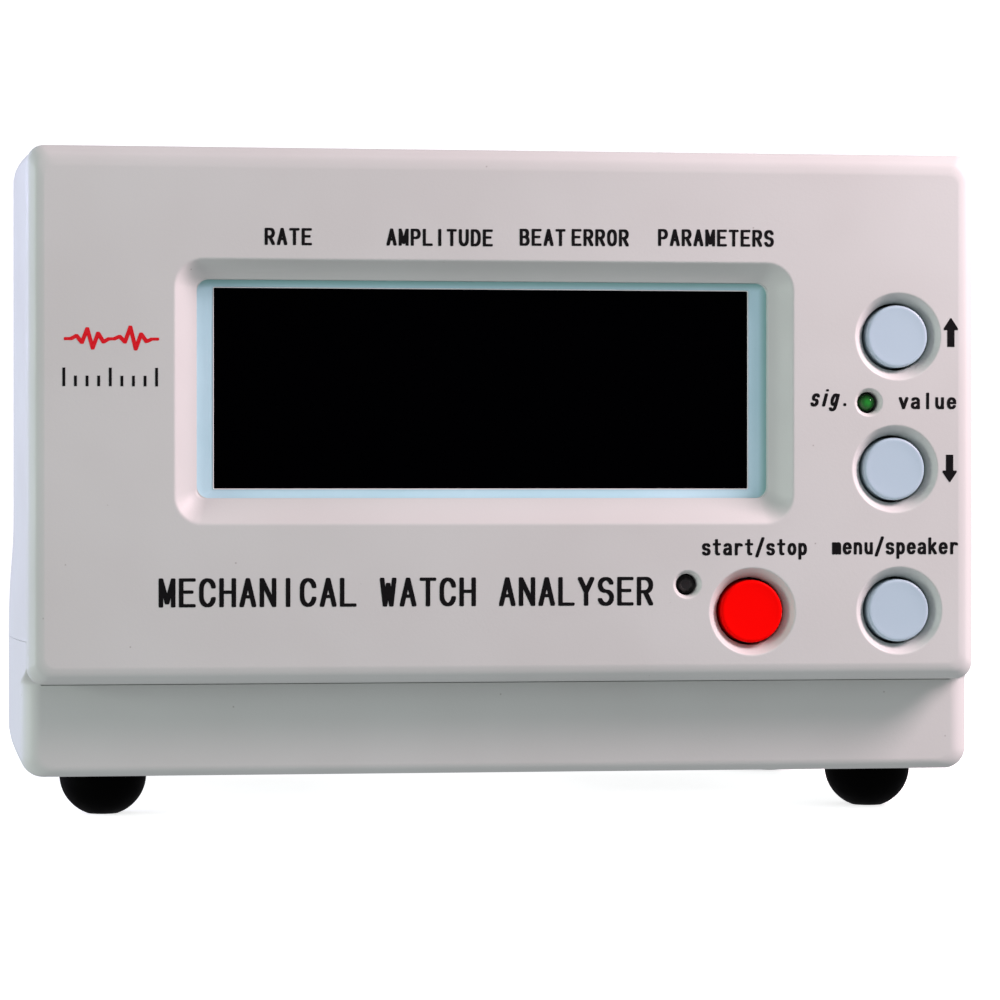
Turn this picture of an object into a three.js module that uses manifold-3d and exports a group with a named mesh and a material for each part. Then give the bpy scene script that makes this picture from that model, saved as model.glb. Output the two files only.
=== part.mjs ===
// Bench timegrapher: a desk instrument that listens to a mechanical watch and shows its rate, amplitude and beat error.
// A moulded case (front panel, top cover, base tray, rear panel) on four rubber feet holds a graphic display,
// a key board with four push buttons and two indicator lamps, and a main board with its rear sockets and power switch.
// Millimetres, +Z up, the front faces -Y. The origin is the centre of the footprint, on the table under the feet.
import * as THREE from 'three';
import { mergeVertices } from 'three/addons/utils/BufferGeometryUtils.js';
import Module from 'manifold-3d';

const wasm = await Module();
wasm.setup();

// ---------------------------------------------------------------- driving dimensions
// Heights are above the table, depths run back from the face of the front panel.
const GAP = 0.3;                 // clearance between pieces that rest on each other
const DEPTH = 128;               // face of the front panel to the rear rim of the case
const CASE_BOTTOM = 7.1;
const CASE_TOP = 109;
const WALL = 2.5;
const BASE_HALF_WIDTH = 80.75;
const COVER_HALF_WIDTH = 79.9;   // above the flare
const DRAFT = 0.0165;            // share of the width lost from the front rim to the rear rim
const SEAM = 29.2;               // joint between the base tray and the top cover
const FLARE_TOP = 50;            // the cover's sides swell out to the tray's width below this height
const COVER_CORNER = 3.2;
const TRAY_EDGE = 7;             // radius along the tray's long lower edges
const TRAY_CORNER = 3;           // radius of the tray's upright front corners
// Towards the front the sides are drawn in to meet the panel, and the tray's lower edges grow tighter.
const NOSE = { start: 3.3, run: 36, cover: 2, tray: 2.85, edge: 5.2, stations: [3.3, 6, 9, 12.5, 17, 22, 29, 39.3] };

const PANEL = { halfWidth: 77.8, bottom: 22.4, top: 109.05, thick: 3, corner: 2.8 };
const PANEL_EDGE = { side: 1.6, top: 3.3, bottom: 2.4, depth: 2.2 };   // how far the rounded border runs in, and back
const SKIRT = { halfWidth: 74.9, top: 106, wall: 2, back: 12 };
const CHIN_DEPTH = 7.5;          // the tray's front wall stands this far behind the panel's face

const WINDOW = { x: -3.5, z: 70.05, width: 94, height: 35.4, corner: 2 };
const WINDOW_BEVEL = { side: 3.7, top: 3.2, bottom: 4.2, depth: 3, corner: 5.2, land: 5 };  // land: where the straight part ends
const DISPLAY = { width: 98, height: 39, glass: 2.2, light: 2.9, frameWall: 2.2 };
const DISPLAY_FRONT = WINDOW_BEVEL.land + GAP;
const DISPLAY_BOARD = { width: 108, height: 56, front: 11.3, thick: 1.6 };
const DISPLAY_POST = { x: 50.5, z: 25 };

const BUTTONS = [
  { name: 'up_button', x: 64.8, z: 79.0, cap: 'white' },
  { name: 'down_button', x: 64.3, z: 57.15, cap: 'white' },
  { name: 'menu_button', x: 65.0, z: 33.8, cap: 'white' },
  { name: 'start_button', x: 40.35, z: 33.75, cap: 'red' },
];
const SINK = { outer: 7.15, inner: 5.6, depth: 2.4 };                  // dished ring round each button
const CAP = { radius: 5.15, front: 0.7, back: 7.2, socketFront: 5, socket: 4.4 };
const KEY_SWITCH = { side: 12, front: 9.1, back: 13.1, plunger: 3.8, plungerFront: 5.4, plungerBack: 10.6 };
const KEY_BOARD = { front: 13.4, thick: 1.6, left: 24, step: 53.5, right: 73.4, bottom: 25, shelf: 41.4, top: 91 };
const KEY_POSTS = [[71, 88], [57, 46], [50.4, 29.4], [27.8, 30]];
const LAMPS = [
  { name: 'signal_lamp', x: 59.85, z: 68.1, colour: 'lampGreen' },
  { name: 'power_lamp', x: 29.5, z: 38.2, colour: 'lampDark' },
];
const LAMP = { radius: 1.5, tip: 0.9, flange: 1.9, flangeFront: 5.2, back: 6.2, holeRadius: 1.75, sinkRadius: 2.3 };

const POST = { radius: 2.5, pilot: 1.35, screw: 1.05, headRadius: 2.4, head: 1.7 };
const CASE_SCREWS = { x: 70, depths: [40, 88], boss: 4.2, hole: 1.9, headBore: 3.6, headFloor: 12.1 };
const FEET = { x: 64.95, depths: [23, 105], radius: 7.2, flat: 2.5, pocket: 0.6, stem: 2.4, barb: 3.1 };

const REAR_PANEL = { halfWidth: 75.7, bottom: 9.9, top: 106.2, front: 121.5, thick: 2.5 };
const RIB = { height: 2, thick: 1.7 };
const DC_JACK = { x: -26, z: 32, thread: 4, bore: 2.9, pin: 1.05, nut: 5.6 };
const SENSOR_JACK = { x: 48, z: 32, thread: 3, bore: 1.85, nut: 4.2 };
const POWER_SWITCH = { x: -54, z: 34, width: 15, height: 21, cutWidth: 13, cutHeight: 19, tilt: -11 };
const SPEAKER = { x: 12, z: 68, radius: 18, holes: 1.3, pitch: 5 };
const MAIN_BOARD = { left: -42, right: 56, near: 48, far: 112, bottom: 15.5, thick: 1.6, inset: 4.5 };

// ---------------------------------------------------------------- materials
const plastic = (colour, roughness = 0.5) =>
  new THREE.MeshStandardMaterial({ color: colour, roughness, metalness: 0, flatShading: true });
const metal = (colour, roughness = 0.35) =>
  new THREE.MeshStandardMaterial({ color: colour, roughness, metalness: 1, flatShading: true });
const finish = {
  case: plastic(0xc9c6c2, 0.55),
  white: plastic(0xc3cedc, 0.4),
  red: plastic(0xe01008, 0.4),
  rubber: plastic(0x0c0c0c, 0.8),
  black: plastic(0x1a1a1c, 0.5),
  glass: plastic(0x9cc9cf, 0.1),
  light: plastic(0xe8ece8, 0.6),
  board: plastic(0x14532f, 0.45),
  ribbon: plastic(0x8d8f94, 0.6),
  lampGreen: plastic(0x0d6b1c, 0.15),
  lampDark: plastic(0x200a0c, 0.15),
  steel: metal(0xb8b8b4),
  aluminium: metal(0xc4c6c8, 0.45),
  brass: metal(0xc09a4a),
};

// ---------------------------------------------------------------- solids
// A closed geometry as a solid that can be joined and cut.
function solid(geometry) {
  const bare = new THREE.BufferGeometry();
  const flat = geometry.index ? geometry.toNonIndexed() : geometry;
  bare.setAttribute('position', flat.getAttribute('position'));
  const merged = mergeVertices(bare, 1e-4);
  const corners = merged.index.array;
  const triVerts = [];
  for (let i = 0; i < corners.length; i += 3) {
    const [a, b, c] = [corners[i], corners[i + 1], corners[i + 2]];
    if (a !== b && b !== c && c !== a) triVerts.push(a, b, c);
  }
  const vertProperties = merged.attributes.position.array;
  return new wasm.Manifold(new wasm.Mesh({ numProp: 3, vertProperties, triVerts: new Uint32Array(triVerts) }));
}

// A solid, or a plain geometry, as a named mesh.
function piece(name, shape, material, parent = instrument) {
  let geometry = shape;
  if (!shape.isBufferGeometry) {
    const made = shape.getMesh();
    const vertices = new Float32Array(made.numVert * 3);
    for (let i = 0; i < made.numVert; i += 1) {
      vertices.set(made.vertProperties.subarray(i * made.numProp, i * made.numProp + 3), i * 3);
    }
    geometry = new THREE.BufferGeometry();
    geometry.setAttribute('position', new THREE.BufferAttribute(vertices, 3));
    geometry.setIndex(new THREE.BufferAttribute(made.triVerts, 1));
    geometry.computeVertexNormals();
  }
  const mesh = new THREE.Mesh(geometry, material);
  mesh.name = name;
  parent.add(mesh);
  return mesh;
}

const joined = (shapes) => shapes.reduce((all, next) => all.add(next));
const cutBy = (body, shapes) => shapes.reduce((left, next) => left.subtract(next), body);

function block(x0, x1, y0, y1, z0, z1) {
  const box = new THREE.BoxGeometry(x1 - x0, y1 - y0, z1 - z0);
  return solid(box.translate((x0 + x1) / 2, (y0 + y1) / 2, (z0 + z1) / 2));
}

// A round bar along the depth (y) or the height (z).
function barY(radius, y0, y1, x = 0, z = 0, sides = 16) {
  return solid(new THREE.CylinderGeometry(radius, radius, y1 - y0, sides).translate(x, (y0 + y1) / 2, z));
}

function barZ(radius, z0, z1, x = 0, y = 0, sides = 16) {
  const bar = new THREE.CylinderGeometry(radius, radius, z1 - z0, sides).rotateX(Math.PI / 2);
  return solid(bar.translate(x, y, (z0 + z1) / 2));
}

// A shape drawn in x and z, run from depth y0 to y1.
function runBack(shape, y0, y1, curveSegments = 5) {
  const body = new THREE.ExtrudeGeometry(shape, { depth: y1 - y0, bevelEnabled: false, curveSegments });
  return solid(body.rotateX(Math.PI / 2).translate(0, y1, 0));
}

// A shape drawn in x and y, raised from height z0 to z1.
function raise(shape, z0, z1, curveSegments = 5) {
  const body = new THREE.ExtrudeGeometry(shape, { depth: z1 - z0, bevelEnabled: false, curveSegments });
  return solid(body.translate(0, 0, z0));
}

// A shape drawn in y and z, run across from x0 to x1.
function runAcross(shape, x0, x1, curveSegments = 5) {
  const body = new THREE.ExtrudeGeometry(shape, { depth: x1 - x0, bevelEnabled: false, curveSegments });
  const across = new THREE.Matrix4().makeBasis(
    new THREE.Vector3(0, 1, 0), new THREE.Vector3(0, 0, 1), new THREE.Vector3(1, 0, 0));
  return solid(body.applyMatrix4(across).translate(x0, 0, 0));
}

// A profile of [radius, along] pairs turned about the y axis, starting and ending on the axis or closing on itself.
function turned(profile, sides = 20) {
  const points = profile.map(([radius, along]) => new THREE.Vector2(radius, along));
  return solid(new THREE.LatheGeometry(points, sides));
}

const polygon = (points) => new THREE.Shape(points.map(([a, b]) => new THREE.Vector2(a, b)));

// A rectangle from (x0, y0) to (x1, y1) with rounded corners: one radius, or a lower one and an upper one.
function roundedRectangle(x0, x1, y0, y1, lower, upper = lower) {
  const shape = new THREE.Shape();
  shape.absarc(x1 - lower, y0 + lower, lower, -Math.PI / 2, 0);
  shape.absarc(x1 - upper, y1 - upper, upper, 0, Math.PI / 2);
  shape.absarc(x0 + upper, y1 - upper, upper, Math.PI / 2, Math.PI);
  shape.absarc(x0 + lower, y0 + lower, lower, Math.PI, Math.PI * 1.5);
  return shape;
}

// A closed skin through rings of points drawn in x and z, each at its own depth.
function lofted(rings) {
  const count = rings[0].points.length;
  const positions = [];
  const corner = (k, i) => {
    const p = rings[k].points[(i + count) % count];
    return [p.x, rings[k].depth, p.y];
  };
  for (let k = 0; k + 1 < rings.length; k += 1) {
    for (let i = 0; i < count; i += 1) {
      positions.push(...corner(k, i), ...corner(k + 1, i + 1), ...corner(k, i + 1));
      positions.push(...corner(k, i), ...corner(k + 1, i), ...corner(k + 1, i + 1));
    }
  }
  const last = rings.length - 1;
  THREE.ShapeUtils.triangulateShape(rings[0].points, []).forEach(([a, b, c]) => {
    positions.push(...corner(0, a), ...corner(0, b), ...corner(0, c));
  });
  THREE.ShapeUtils.triangulateShape(rings[last].points, []).forEach(([a, b, c]) => {
    positions.push(...corner(last, a), ...corner(last, c), ...corner(last, b));
  });
  const skin = new THREE.BufferGeometry();
  skin.setAttribute('position', new THREE.Float32BufferAttribute(positions, 3));
  return solid(skin);
}

const ring = (depth, x0, x1, z0, z1, corner) =>
  ({ depth, points: roundedRectangle(x0, x1, z0, z1, corner).extractPoints(5).shape });

// ---------------------------------------------------------------- case
const instrument = new THREE.Group();
instrument.position.y = -DEPTH / 2;

// How much of the sides' drawing-in is left at a depth: all of it at the cover's front edge, none after a run.
function nose(depth) {
  const left = Math.max(0, 1 - (depth - NOSE.start) / NOSE.run);
  return left * left;
}

// The cover's outline from the front at a depth, moved inwards by the given amount.
function coverOutline(inset, depth = DEPTH) {
  const half = COVER_HALF_WIDTH - NOSE.cover * nose(depth) - inset;
  const foot = BASE_HALF_WIDTH - NOSE.tray * nose(depth) - inset;
  const top = CASE_TOP - inset;
  const corner = Math.max(COVER_CORNER - inset, 0.6);
  const bend = (FLARE_TOP - SEAM) / 2;
  const shape = new THREE.Shape();
  shape.moveTo(foot, SEAM + GAP);
  shape.bezierCurveTo(foot, SEAM + GAP + bend, half, FLARE_TOP - bend, half, FLARE_TOP);
  shape.absarc(half - corner, top - corner, corner, 0, Math.PI / 2);
  shape.absarc(corner - half, top - corner, corner, Math.PI / 2, Math.PI);
  shape.lineTo(-half, FLARE_TOP);
  shape.bezierCurveTo(-half, FLARE_TOP - bend, -foot, SEAM + GAP + bend, -foot, SEAM + GAP);
  return shape;
}

// The tray's outline from the front at a depth, moved inwards by the given amount.
function trayOutline(inset, depth = DEPTH) {
  const half = BASE_HALF_WIDTH - NOSE.tray * nose(depth) - inset;
  const radius = Math.max(TRAY_EDGE - NOSE.edge * nose(depth) - inset, 0.5);
  const shape = new THREE.Shape();
  shape.absarc(half - radius, CASE_BOTTOM + inset + radius, radius, -Math.PI / 2, 0);
  shape.lineTo(half, SEAM);
  shape.lineTo(-half, SEAM);
  shape.absarc(radius - half, CASE_BOTTOM + inset + radius, radius, Math.PI, Math.PI * 1.5);
  return shape;
}

// An outline run from depth y0 to y1 with its sides drawn in a little towards the rear, and more at the front.
function drafted(outline, inset, y0, y1) {
  const at = (depth) => {
    const narrowing = 1 - (DRAFT * depth) / DEPTH;
    const points = outline(inset, depth).extractPoints(5).shape;
    return { depth, points: points.map((p) => new THREE.Vector2(p.x * narrowing, p.y)) };
  };
  const between = NOSE.stations.filter((depth) => depth > y0 + 0.2 && depth < y1 - 0.2);
  return lofted([y0, ...between, y1].map(at));
}

// Two ribs either side of the rear panel, following the inside of a wall.
function panelRibs(outline, zLow, zHigh) {
  const near = REAR_PANEL.front - GAP;
  const far = REAR_PANEL.front + REAR_PANEL.thick + GAP;
  return [[near - RIB.thick, near], [far, far + RIB.thick]].map(([y0, y1]) => {
    const strip = drafted(outline, WALL - 0.5, y0, y1).subtract(drafted(outline, WALL + RIB.height, y0 - 1, y1 + 1));
    return strip.intersect(block(-90, 90, y0, y1, zLow, zHigh));
  });
}

function topCover() {
  const front = PANEL.thick + GAP;
  const shell = drafted(coverOutline, 0, front, DEPTH);
  const hollow = drafted(coverOutline, WALL, front - 1, DEPTH + 1);
  const opened = shell.subtract(hollow).subtract(block(-75, 75, 0, DEPTH + 1, 20, SEAM + 3));
  const posts = CASE_SCREWS.depths.flatMap((y) => [-1, 1].map((side) =>
    barZ(3.6, SEAM + 2, CASE_TOP - 1, side * CASE_SCREWS.x, y, 12)
      .subtract(barZ(1.75, SEAM, SEAM + 16, side * CASE_SCREWS.x, y, 10))));
  return joined([opened, ...posts, ...panelRibs(coverOutline, FLARE_TOP, CASE_TOP)]);
}

function baseTray() {
  const front = CHIN_DEPTH;
  const plan = (inset) => {
    const corner = TRAY_CORNER - inset;
    const near = front + inset + corner;
    const half = (BASE_HALF_WIDTH - NOSE.tray * nose(near)) * (1 - (DRAFT * near) / DEPTH) - inset;
    const far = inset ? DEPTH + 1 : DEPTH;
    const shape = new THREE.Shape();
    shape.moveTo(half + 3, far);
    shape.lineTo(-half - 3, far);
    shape.lineTo(-half - 3, near);
    shape.absarc(corner - half, near, corner, Math.PI, Math.PI * 1.5);
    shape.absarc(half - corner, near, corner, -Math.PI / 2, 0);
    shape.lineTo(half + 3, near);
    return shape;
  };
  const lower = 1.8;   // radius under the front wall
  const bow = new THREE.Shape();
  bow.absarc(front + lower, CASE_BOTTOM + lower, lower, Math.PI, Math.PI * 1.5);
  bow.lineTo(DEPTH + 1, CASE_BOTTOM);
  bow.lineTo(DEPTH + 1, SEAM + 1);
  bow.lineTo(front, SEAM + 1);
  const outer = drafted(trayOutline, 0, front - 1, DEPTH)
    .intersect(raise(plan(0), CASE_BOTTOM - 1, SEAM))
    .intersect(runAcross(bow, -90, 90, 3));
  const inner = drafted(trayOutline, WALL, front + WALL, DEPTH + 1)
    .intersect(raise(plan(WALL), CASE_BOTTOM, SEAM + 2));
  const roomForPanel = block(-SKIRT.halfWidth - 0.6, SKIRT.halfWidth + 0.6, 0, 14, PANEL.bottom - GAP, SEAM + 2);
  // Cheeks carry the side walls forward beside the lower end of the front panel.
  const cheek = polygon([[PANEL.thick + GAP, SEAM], [16, SEAM], [16, PANEL.bottom - 2],
    [CHIN_DEPTH + 3, PANEL.bottom - 2], [PANEL.thick + GAP, PANEL.bottom + 1.5]]);
  const sides = drafted(trayOutline, 0, PANEL.thick, 20).subtract(drafted(trayOutline, WALL, PANEL.thick - 1, 21));
  const cheeks = [-1, 1].map((side) => {
    const [x0, x1] = side > 0 ? [BASE_HALF_WIDTH - 6, BASE_HALF_WIDTH + 1] : [-BASE_HALF_WIDTH - 1, 6 - BASE_HALF_WIDTH];
    return runAcross(cheek, x0, x1).intersect(sides);
  });
  const eachScrew = (make) => CASE_SCREWS.depths.flatMap((y) => [-1, 1].map((side) => make(side * CASE_SCREWS.x, y)));
  const bosses = eachScrew((x, y) => barZ(CASE_SCREWS.boss, CASE_BOTTOM + 1, SEAM + 1.4, x, y, 14));
  const bores = eachScrew((x, y) => barZ(CASE_SCREWS.hole, 0, SEAM + 9, x, y, 12)
    .add(barZ(CASE_SCREWS.headBore, 0, CASE_SCREWS.headFloor, x, y, 14)));
  const feet = FEET.depths.flatMap((y) => [-1, 1].map((side) => barZ(FEET.stem + GAP, 0, 20, side * FEET.x, y, 14)
    .add(barZ(FEET.radius + GAP, 0, CASE_BOTTOM + FEET.pocket, side * FEET.x, y, 20))));
  const standoffs = boardCorners(MAIN_BOARD).flatMap(([x, y]) =>
    [barZ(3, CASE_BOTTOM + 1, MAIN_BOARD.bottom - GAP, x, y, 12)]);
  const pilots = boardCorners(MAIN_BOARD).map(([x, y]) =>
    barZ(POST.pilot, MAIN_BOARD.bottom - 5, MAIN_BOARD.bottom + 1, x, y, 8));
  const vents = [-1, 1].flatMap((side) => [0, 1, 2, 3, 4, 5].map((n) =>
    block(side * 36 - 14, side * 36 + 14, 58 + n * 7, 60.5 + n * 7, 0, CASE_BOTTOM + WALL + 1)));
  const shell = joined([outer.subtract(inner).subtract(roomForPanel), ...cheeks, ...bosses, ...standoffs,
    ...panelRibs(trayOutline, CASE_BOTTOM + 1, SEAM)]);
  return cutBy(shell, [...bores, ...feet, ...pilots, ...vents]);
}

function frontPanel() {
  const { halfWidth, bottom, top, thick, corner } = PANEL;
  const edge = (depth, share) => ring(depth, PANEL_EDGE.side * share - halfWidth, halfWidth - PANEL_EDGE.side * share,
    bottom + PANEL_EDGE.bottom * share, top - PANEL_EDGE.top * share, corner - share);
  const plate = lofted([edge(0, 1), edge(0.35, 0.55), edge(1, 0.2), edge(PANEL_EDGE.depth, 0), edge(thick, 0)]);
  const skirt = runBack(roundedRectangle(-SKIRT.halfWidth, SKIRT.halfWidth, bottom, SKIRT.top, 1), thick - 1, SKIRT.back)
    .subtract(runBack(roundedRectangle(-SKIRT.halfWidth + SKIRT.wall, SKIRT.halfWidth - SKIRT.wall,
      bottom + WALL, SKIRT.top - SKIRT.wall, 0.5), thick - 1.5, SKIRT.back + 1));
  const openWidth = WINDOW.width / 2;
  const openHeight = WINDOW.height / 2;
  // share is 0 at the inner edge of the bevel and 1 where it meets the panel's face
  const windowRing = (depth, share, radius) => ring(depth,
    WINDOW.x - openWidth - WINDOW_BEVEL.side * share, WINDOW.x + openWidth + WINDOW_BEVEL.side * share,
    WINDOW.z - openHeight - WINDOW_BEVEL.bottom * share, WINDOW.z + openHeight + WINDOW_BEVEL.top * share, radius);
  const land = runBack(roundedRectangle(WINDOW.x - openWidth - 5, WINDOW.x + openWidth + 5,
    WINDOW.z - openHeight - 5, WINDOW.z + openHeight + 5, 2), thick - 1, WINDOW_BEVEL.land);
  const opening = lofted([
    windowRing(-1, 1 + 1 / WINDOW_BEVEL.depth, WINDOW_BEVEL.corner + 1),
    windowRing(WINDOW_BEVEL.depth, 0, WINDOW.corner),
    windowRing(WINDOW_BEVEL.land + 1, 0, WINDOW.corner)]);
  const displayPosts = [-1, 1].flatMap((sx) => [-1, 1].map((sz) =>
    [WINDOW.x + sx * DISPLAY_POST.x, WINDOW.z + sz * DISPLAY_POST.z, DISPLAY_BOARD.front - GAP]));
  const keyPosts = KEY_POSTS.map(([x, z]) => [x, z, KEY_BOARD.front - GAP]);
  const posts = [...displayPosts, ...keyPosts];
  const collars = BUTTONS.map(({ x, z }) => barY(SINK.inner + 1.6, thick - 1, 6, x, z, 24));
  const sinks = BUTTONS.map(({ x, z }) => {
    const widen = (SINK.outer - SINK.inner) / SINK.depth;
    return turned([[0, -1], [SINK.outer + widen, -1], [SINK.inner, SINK.depth], [SINK.inner, 7], [0, 7]], 24)
      .translate([x, 0, z]);
  });
  const lampHoles = LAMPS.map(({ x, z }) =>
    turned([[0, -1], [LAMP.sinkRadius + 0.6, -1], [LAMP.holeRadius, 1], [LAMP.holeRadius, 4], [0, 4]], 14)
      .translate([x, 0, z]));
  const body = joined([plate, skirt, land, ...collars,
    ...posts.map(([x, z, back]) => barY(POST.radius, thick - 1, back, x, z, 10))]);
  return cutBy(body, [opening, ...sinks, ...lampHoles,
    ...posts.map(([x, z, back]) => barY(POST.pilot, back - 5, back + 1, x, z, 8))]);
}

function rearPanel() {
  const { halfWidth, bottom, top, front, thick } = REAR_PANEL;
  const plate = runBack(roundedRectangle(-halfWidth, halfWidth, bottom, top, 5, 1.2), front, front + thick);
  const through = [front - 1, front + thick + 1];
  const { x, z, cutWidth, cutHeight } = POWER_SWITCH;
  const switchCut = block(x - cutWidth / 2 - GAP, x + cutWidth / 2 + GAP, ...through,
    z - cutHeight / 2 - GAP, z + cutHeight / 2 + GAP);
  const jackHoles = [DC_JACK, SENSOR_JACK].map((jack) => barY(jack.thread + GAP, ...through, jack.x, jack.z, 16));
  const grille = [];
  for (let row = -2; row <= 2; row += 1) {
    for (let column = -2; column <= 2; column += 1) {
      const [dx, dz] = [column * SPEAKER.pitch, row * SPEAKER.pitch];
      if (Math.hypot(dx, dz) < SPEAKER.radius - 5) {
        grille.push(barY(SPEAKER.holes, ...through, SPEAKER.x + dx, SPEAKER.z + dz, 8));
      }
    }
  }
  return cutBy(plate, [switchCut, ...jackHoles, ...grille]);
}

// A domed rubber foot with a small flat to stand on and a barbed stem pushed through the tray's floor.
function foot() {
  const { radius, flat, pocket, stem, barb } = FEET;
  const top = CASE_BOTTOM + pocket - GAP;
  const steps = 6;
  const dome = [];
  for (let i = 0; i <= steps; i += 1) {
    const share = i / steps;
    const angle = Math.asin(flat / radius) * (1 - share) + (Math.PI / 2) * share;
    dome.push([radius * Math.sin(angle), (1 - Math.cos(angle) / Math.cos(Math.asin(flat / radius))) * (top - 0.9)]);
  }
  const floor = CASE_BOTTOM + WALL + GAP;
  return turned([[0, 0], ...dome, [radius, top], [stem, top], [stem, floor], [barb, floor], [stem - 0.8, floor + 3],
    [0, floor + 3]], 20);
}

// ---------------------------------------------------------------- fasteners and boards
// A pan-head screw: the head starts at 0 and the shank points along +y for the given length.
function screw(shank, length, headRadius, head, sides = 12) {
  const slot = block(-headRadius - 1, headRadius + 1, -head - 1, -head + 0.6, -0.35, 0.35);
  const slots = slot.add(block(-0.35, 0.35, -head - 1, -head + 0.6, -headRadius - 1, headRadius + 1));
  return turned([[0, -head], [headRadius * 0.75, -head], [headRadius, -head * 0.5], [headRadius, 0], [shank, 0],
    [shank, length - 1], [0, length]], sides).subtract(slots);
}

function boardCorners({ left, right, near, far, inset }) {
  return [left + inset, right - inset].flatMap((x) => [near + inset, far - inset].map((y) => [x, y]));
}

// ---------------------------------------------------------------- assembly
piece('front_panel', frontPanel(), finish.case);
piece('top_cover', topCover(), finish.case);
piece('base_tray', baseTray(), finish.case);
piece('rear_panel', rearPanel(), finish.case);

const domedFoot = foot();
FEET.depths.forEach((y, row) => [-1, 1].forEach((side) => {
  const mesh = piece(`${row ? 'rear' : 'front'}_${side < 0 ? 'left' : 'right'}_foot`, domedFoot, finish.rubber);
  mesh.rotation.x = Math.PI / 2;
  mesh.position.set(side * FEET.x, y, 0);
}));

const caseScrew = screw(1.4, 29, 2.8, 2);
CASE_SCREWS.depths.forEach((y, row) => [-1, 1].forEach((side) => {
  const mesh = piece(`case_screw_${row ? 'rear' : 'front'}_${side < 0 ? 'left' : 'right'}`, caseScrew, finish.steel);
  mesh.rotation.x = Math.PI / 2;
  mesh.position.set(side * CASE_SCREWS.x, y, CASE_SCREWS.headFloor - GAP);
}));

// Display: glass and backlight in a metal frame, on a board screwed to posts behind the window.
const glassBack = DISPLAY_FRONT + DISPLAY.glass;
const lightBack = glassBack + GAP + DISPLAY.light;
const aroundWindow = (grow, y0, y1) => block(WINDOW.x - DISPLAY.width / 2 - grow, WINDOW.x + DISPLAY.width / 2 + grow,
  y0, y1, WINDOW.z - DISPLAY.height / 2 - grow, WINDOW.z + DISPLAY.height / 2 + grow);
piece('display_glass', aroundWindow(0, DISPLAY_FRONT, glassBack), finish.glass);
piece('display_backlight', aroundWindow(0, glassBack + GAP, lightBack), finish.light);
piece('display_frame', aroundWindow(DISPLAY.frameWall, DISPLAY_FRONT, lightBack)
  .subtract(aroundWindow(GAP, DISPLAY_FRONT - 1, lightBack + 1)), finish.steel);

const displayCorners = [-1, 1].flatMap((sx) => [-1, 1].map((sz) =>
  [WINDOW.x + sx * DISPLAY_POST.x, WINDOW.z + sz * DISPLAY_POST.z]));
const displayBoardBack = DISPLAY_BOARD.front + DISPLAY_BOARD.thick;
piece('display_board', cutBy(
  block(WINDOW.x - DISPLAY_BOARD.width / 2, WINDOW.x + DISPLAY_BOARD.width / 2, DISPLAY_BOARD.front, displayBoardBack,
    WINDOW.z - DISPLAY_BOARD.height / 2, WINDOW.z + DISPLAY_BOARD.height / 2),
  displayCorners.map(([x, z]) => barY(1.6, 0, 30, x, z, 10))), finish.board);

const boardScrew = screw(POST.screw, 6, POST.headRadius, POST.head, 10);
const screwsFromBehind = (name, corners, back) => corners.forEach(([x, z], n) => {
  const mesh = piece(`${name}_${n + 1}`, boardScrew, finish.steel);
  mesh.rotation.z = Math.PI;
  mesh.position.set(x, back + GAP, z);
});
screwsFromBehind('display_screw', displayCorners, displayBoardBack);

// Key board: an L-shaped board behind the buttons, with a switch, a plunger and a cap at each, and two lamps.
const keyBoardBack = KEY_BOARD.front + KEY_BOARD.thick;
const keyOutline = polygon([[KEY_BOARD.left, KEY_BOARD.bottom], [KEY_BOARD.right, KEY_BOARD.bottom],
  [KEY_BOARD.right, KEY_BOARD.top], [KEY_BOARD.step, KEY_BOARD.top], [KEY_BOARD.step, KEY_BOARD.shelf],
  [KEY_BOARD.left, KEY_BOARD.shelf]]);
piece('key_board', cutBy(runBack(keyOutline, KEY_BOARD.front, keyBoardBack),
  KEY_POSTS.map(([x, z]) => barY(1.6, 0, 30, x, z, 10))), finish.board);
screwsFromBehind('key_board_screw', KEY_POSTS, keyBoardBack);

const half = KEY_SWITCH.side / 2;
const switchBody = block(-half, half, KEY_SWITCH.front, KEY_SWITCH.back, -half, half)
  .subtract(barY(3.4, KEY_SWITCH.front - 1, KEY_SWITCH.plungerBack + 1, 0, 0, 12));
const stem = KEY_SWITCH.plunger / 2;
const plunger = block(-stem, stem, KEY_SWITCH.plungerFront, 9.6, -stem, stem)
  .add(barY(2.9, 9.3, KEY_SWITCH.plungerBack, 0, 0, 12));
const socket = CAP.socket / 2;
const capBody = turned([[0, CAP.front], [CAP.radius - 0.5, CAP.front], [CAP.radius, CAP.front + 0.5],
  [CAP.radius, CAP.back], [0, CAP.back]], 28)
  .subtract(block(-socket, socket, CAP.socketFront, CAP.back + 1, -socket, socket));
BUTTONS.forEach(({ name, x, z, cap }) => {
  piece(`${name}_switch`, switchBody, finish.black).position.set(x, 0, z);
  piece(`${name}_plunger`, plunger, finish.black).position.set(x, 0, z);
  piece(`${name}_cap`, capBody, finish[cap]).position.set(x, 0, z);
});

const legs = [-1, 1].map((side) => block(side * 1.27 - 0.25, side * 1.27 + 0.25, LAMP.back - 1, KEY_BOARD.front - GAP,
  -0.25, 0.25));
const lampBody = joined([turned([[0, LAMP.tip], [0.75, LAMP.tip + 0.2], [1.3, LAMP.tip + 0.75],
  [LAMP.radius, LAMP.tip + 1.5], [LAMP.radius, LAMP.flangeFront], [LAMP.flange, LAMP.flangeFront],
  [LAMP.flange, LAMP.back], [0, LAMP.back]], 14), ...legs]);
LAMPS.forEach(({ name, x, z, colour }) => piece(name, lampBody, finish[colour]).position.set(x, 0, z));

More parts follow.
